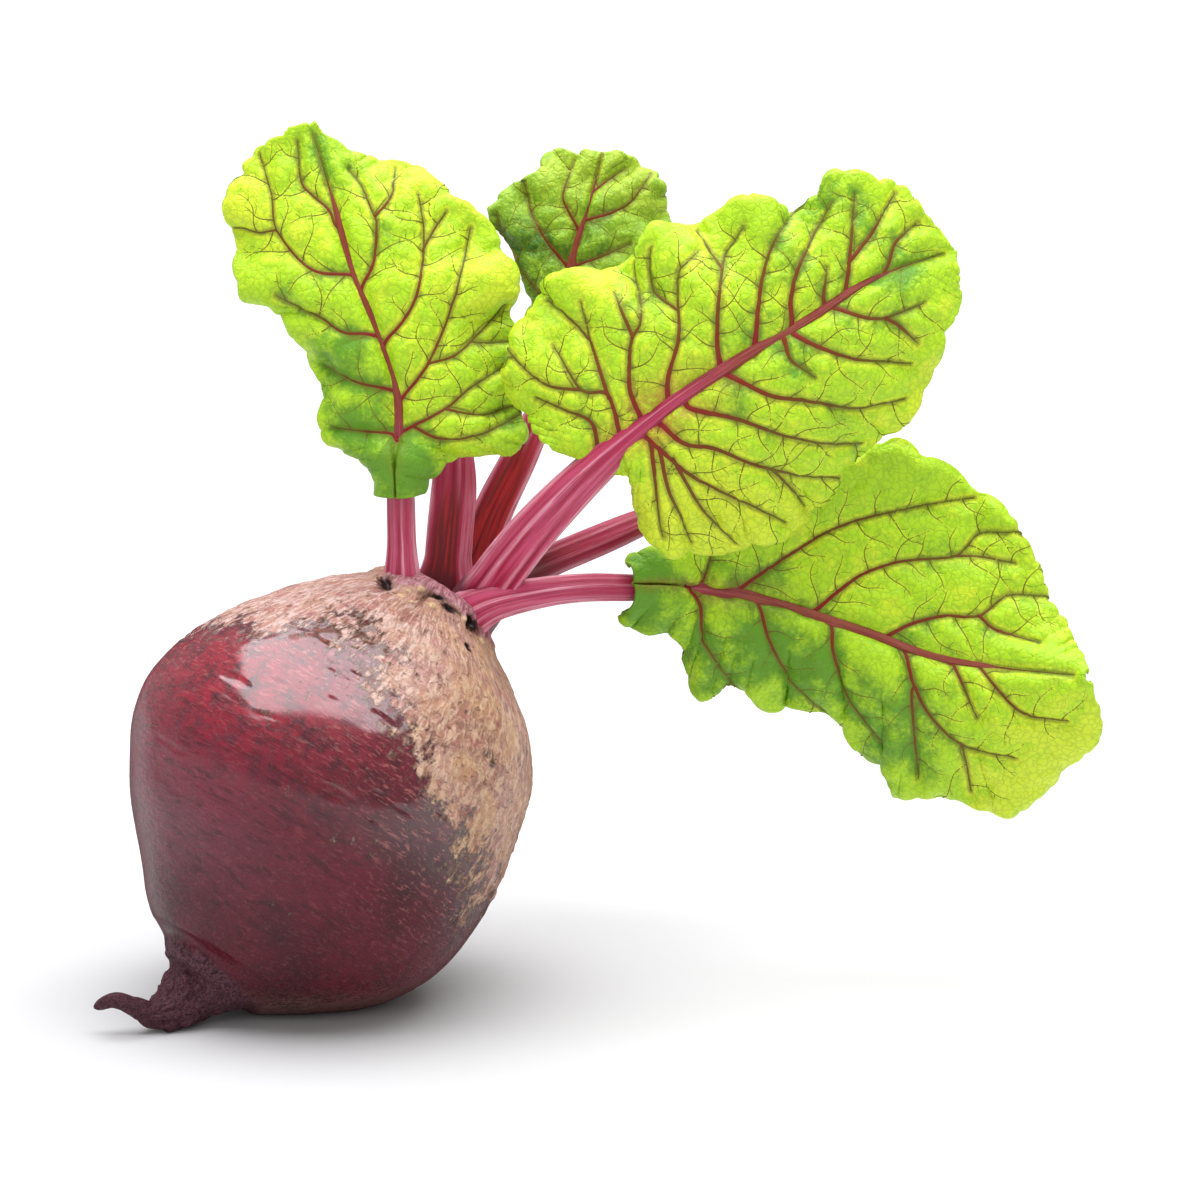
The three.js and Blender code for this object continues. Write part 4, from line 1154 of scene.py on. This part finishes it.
def stalk_piece(name, leaf, material):
    """Stalk and midrib: an ellipse as wide as the solid's, flared at the foot and slimmer along the midrib,
    with its seen face hollowed by 1 - channel sin^2 and ribs that run along it. The shares that it carries
    for its paint are those that stalk_paint names."""
    last = len(leaf["spine"]) - 1
    end = leaf["from"] + leaf["midrib"] / leaf["rows"] * (last - leaf["from"])
    at = np.linspace(0, end, STALK_STEPS)
    point, along, across, over = spine_frame(leaf, at)
    run = np.concatenate([[0], np.cumsum(np.linalg.norm(np.diff(point, axis=0), axis=1))])
    half = smooth(leaf["stalk"], at)
    flare = leaf.get("flare", 0.45) * ease(run, 14, 5)
    half = half * (1 - 0.75 * ease(at, end - 0.6, end)) * (1 + flare)
    slim = ease(at, leaf["from"] + 0.2, leaf["from"] + 0.8) * ease(at, end, leaf["from"] + 2)
    half = half * (1 - leaf.get("slim", 0) * slim)
    fade = np.minimum(at / leaf["from"], 1) ** 2
    thick = half * (leaf["flat"] + (0.9 - leaf["flat"]) * fade)
    channel = leaf["channel"] * (1 - fade)
    turn = -2 * np.pi * np.arange(STALK_SIDES) / STALK_SIDES
    sine, cosine = np.sin(turn), np.cos(turn)
    hollow = np.where(sine > 0, 1 - channel[:, None] * sine ** 2, 1)
    seed = len(name) * 1.7
    phase = 0.6 * np.sin(run / 19 + seed)[:, None]
    ribs = np.cos(9 * turn + phase + seed) * 0.6 + np.cos(14 * turn - 1.4 * phase + 2 * seed) * 0.4
    scale = 1 + 0.085 * (1 - 0.5 * fade[:, None]) * ribs
    rings = (
        point[:, None]
        + across[:, None] * (half[:, None] * cosine * scale)[..., None]
        + over[:, None] * (thick[:, None] * sine * hollow * scale)[..., None]
    )
    points, faces = closed_tube(rings)
    shaded = leaf.get("shaded", 16)
    # a stalk with rim keeps its lit right side pale: painted sheen
    rim = ease(cosine * np.sign(across[:, :1]), 0.25, 0.5) * leaf.get("rim", 0)
    # pale along both sides of the stalk's lower part: painted sheen
    edge_sheen = ease(np.abs(cosine), 0.7, 0.97) * (1 - ease(at, end * 0.4, end * 0.5))[:, None]
    shares = {
        "face": np.clip(sine, 0, 1),
        "reach": (at / end)[:, None] + leaf.get("brown", 0),
        # deep red face: partly the stalk's own colour and partly painted shade
        "dark": leaf.get("dark", 0) * (1 - fade[:, None]) * (1 - rim),
        # rib height for pale tops and dark grooves, with the painted sheen of the sides and the rim
        "ridge_and_sheen": np.maximum(np.maximum(0.5 + 0.5 * ribs, edge_sheen) * (1 - rim), 0.72 * rim),
        # painted shade over the crown, for the length that shaded gives
        "foot": 0.85 * ease(run, shaded, shaded / 3)[:, None] * (1 - 0.8 * rim),
    }
    marks = {key: ended(np.broadcast_to(share, ribs.shape)) for key, share in shares.items()}
    along_it = [np.broadcast_to(field, ribs.shape) for field in (cosine, sine, run[:, None] + 40 * seed)]
    marks["fibre"] = ended(np.stack(along_it, -1))
    piece("stem_of_" + name, points, faces, material, "stalk", ["stalk_" + name], **marks)


# Floor, light and camera

def studio():
    """A wide pale floor, a white surround, two softboxes and the camera. The floor glows brighter away from
    the root, in two steps, so that the shadow stays by the root and the far floor is as white as the
    surround."""
    paint = Paint("pale_floor")
    away = paint.node("ShaderNodeVectorMath", {0: paint.place()}, "Value", operation="LENGTH")
    glow = paint.mix(colour(0, 0, 0), colour(138, 138, 138), paint.ease(away, 66, 150))
    glow = paint.mix(glow, colour(236, 236, 236), paint.ease(away, 230, 900))
    floor_material = paint.finish(
        Base_Color=colour(208, 208, 208), Roughness=0.9, Emission_Color=glow, Emission_Strength=1.0,
    )
    mesh = bpy.data.meshes.new("floor")
    mesh.from_pydata([(-9, -9, 0), (9, -9, 0), (9, 9, 0), (-9, 9, 0)], [], [(0, 1, 2, 3)])
    mesh.materials.append(floor_material)
    floor = bpy.data.objects.new("floor", mesh)
    bpy.context.scene.collection.objects.link(floor)

    world = bpy.data.worlds.new("surround")
    world.use_nodes = True
    world.node_tree.nodes["Background"].inputs["Color"].default_value = (1, 1, 1, 1)
    world.node_tree.nodes["Background"].inputs["Strength"].default_value = 0.4
    bpy.context.scene.world = world
    bpy.context.scene.view_settings.view_transform = "Standard"

    softbox("softbox_above", (0.06, 0.01, 0.58), (0.06, 0.011, 0), 0.8, 0.62, 7.6)
    fill = softbox("softbox_front", (-0.3, -1.5, 0.9), (0.04, 0, 0.09), 1.2, 0.9, 4.6)
    fill.visible_glossy = False

    camera = bpy.data.cameras.new("camera")
    camera.lens = LENS
    camera.sensor_width = SENSOR
    camera.clip_start = 0.01
    thing = bpy.data.objects.new("camera", camera)
    back = np.array([0, -np.cos(ELEVATION), np.sin(ELEVATION)])
    thing.location = ((TARGET + DISTANCE * back) * MM).tolist()
    thing.rotation_euler = (np.pi / 2 - ELEVATION, 0, 0)
    bpy.context.scene.collection.objects.link(thing)
    bpy.context.scene.camera = thing


def softbox(name, place, aim, width, height, power):
    """A rectangular light at a place, turned to its aim, in metres and watts."""
    light = bpy.data.lights.new(name, "AREA")
    light.shape = "RECTANGLE"
    light.size = width
    light.size_y = height
    light.energy = power
    light.color = (0.97, 0.97, 1)
    thing = bpy.data.objects.new(name, light)
    thing.location = place
    thing.rotation_euler = (Vector(aim) - Vector(place)).to_track_quat("-Z", "Y").to_euler()
    bpy.context.scene.collection.objects.link(thing)
    return thing


studio()
root_piece(skin_paint())
lime = blade_paint("beet_blade", colour(170, 211, 27), colour(94, 146, 26), colour(220, 226, 50))
green = blade_paint("beet_blade_back", colour(142, 180, 40), colour(64, 108, 28), colour(176, 196, 52))
stalk_material = stalk_paint()
vein_material = vein_paint()
for leaf_name, leaf_table in LEAVES.items():
    blade_material = green if leaf_name in ("top", "behind_left", "behind_right") else lime
    leaf_pieces(leaf_name, leaf_table, blade_material, stalk_material, vein_material)
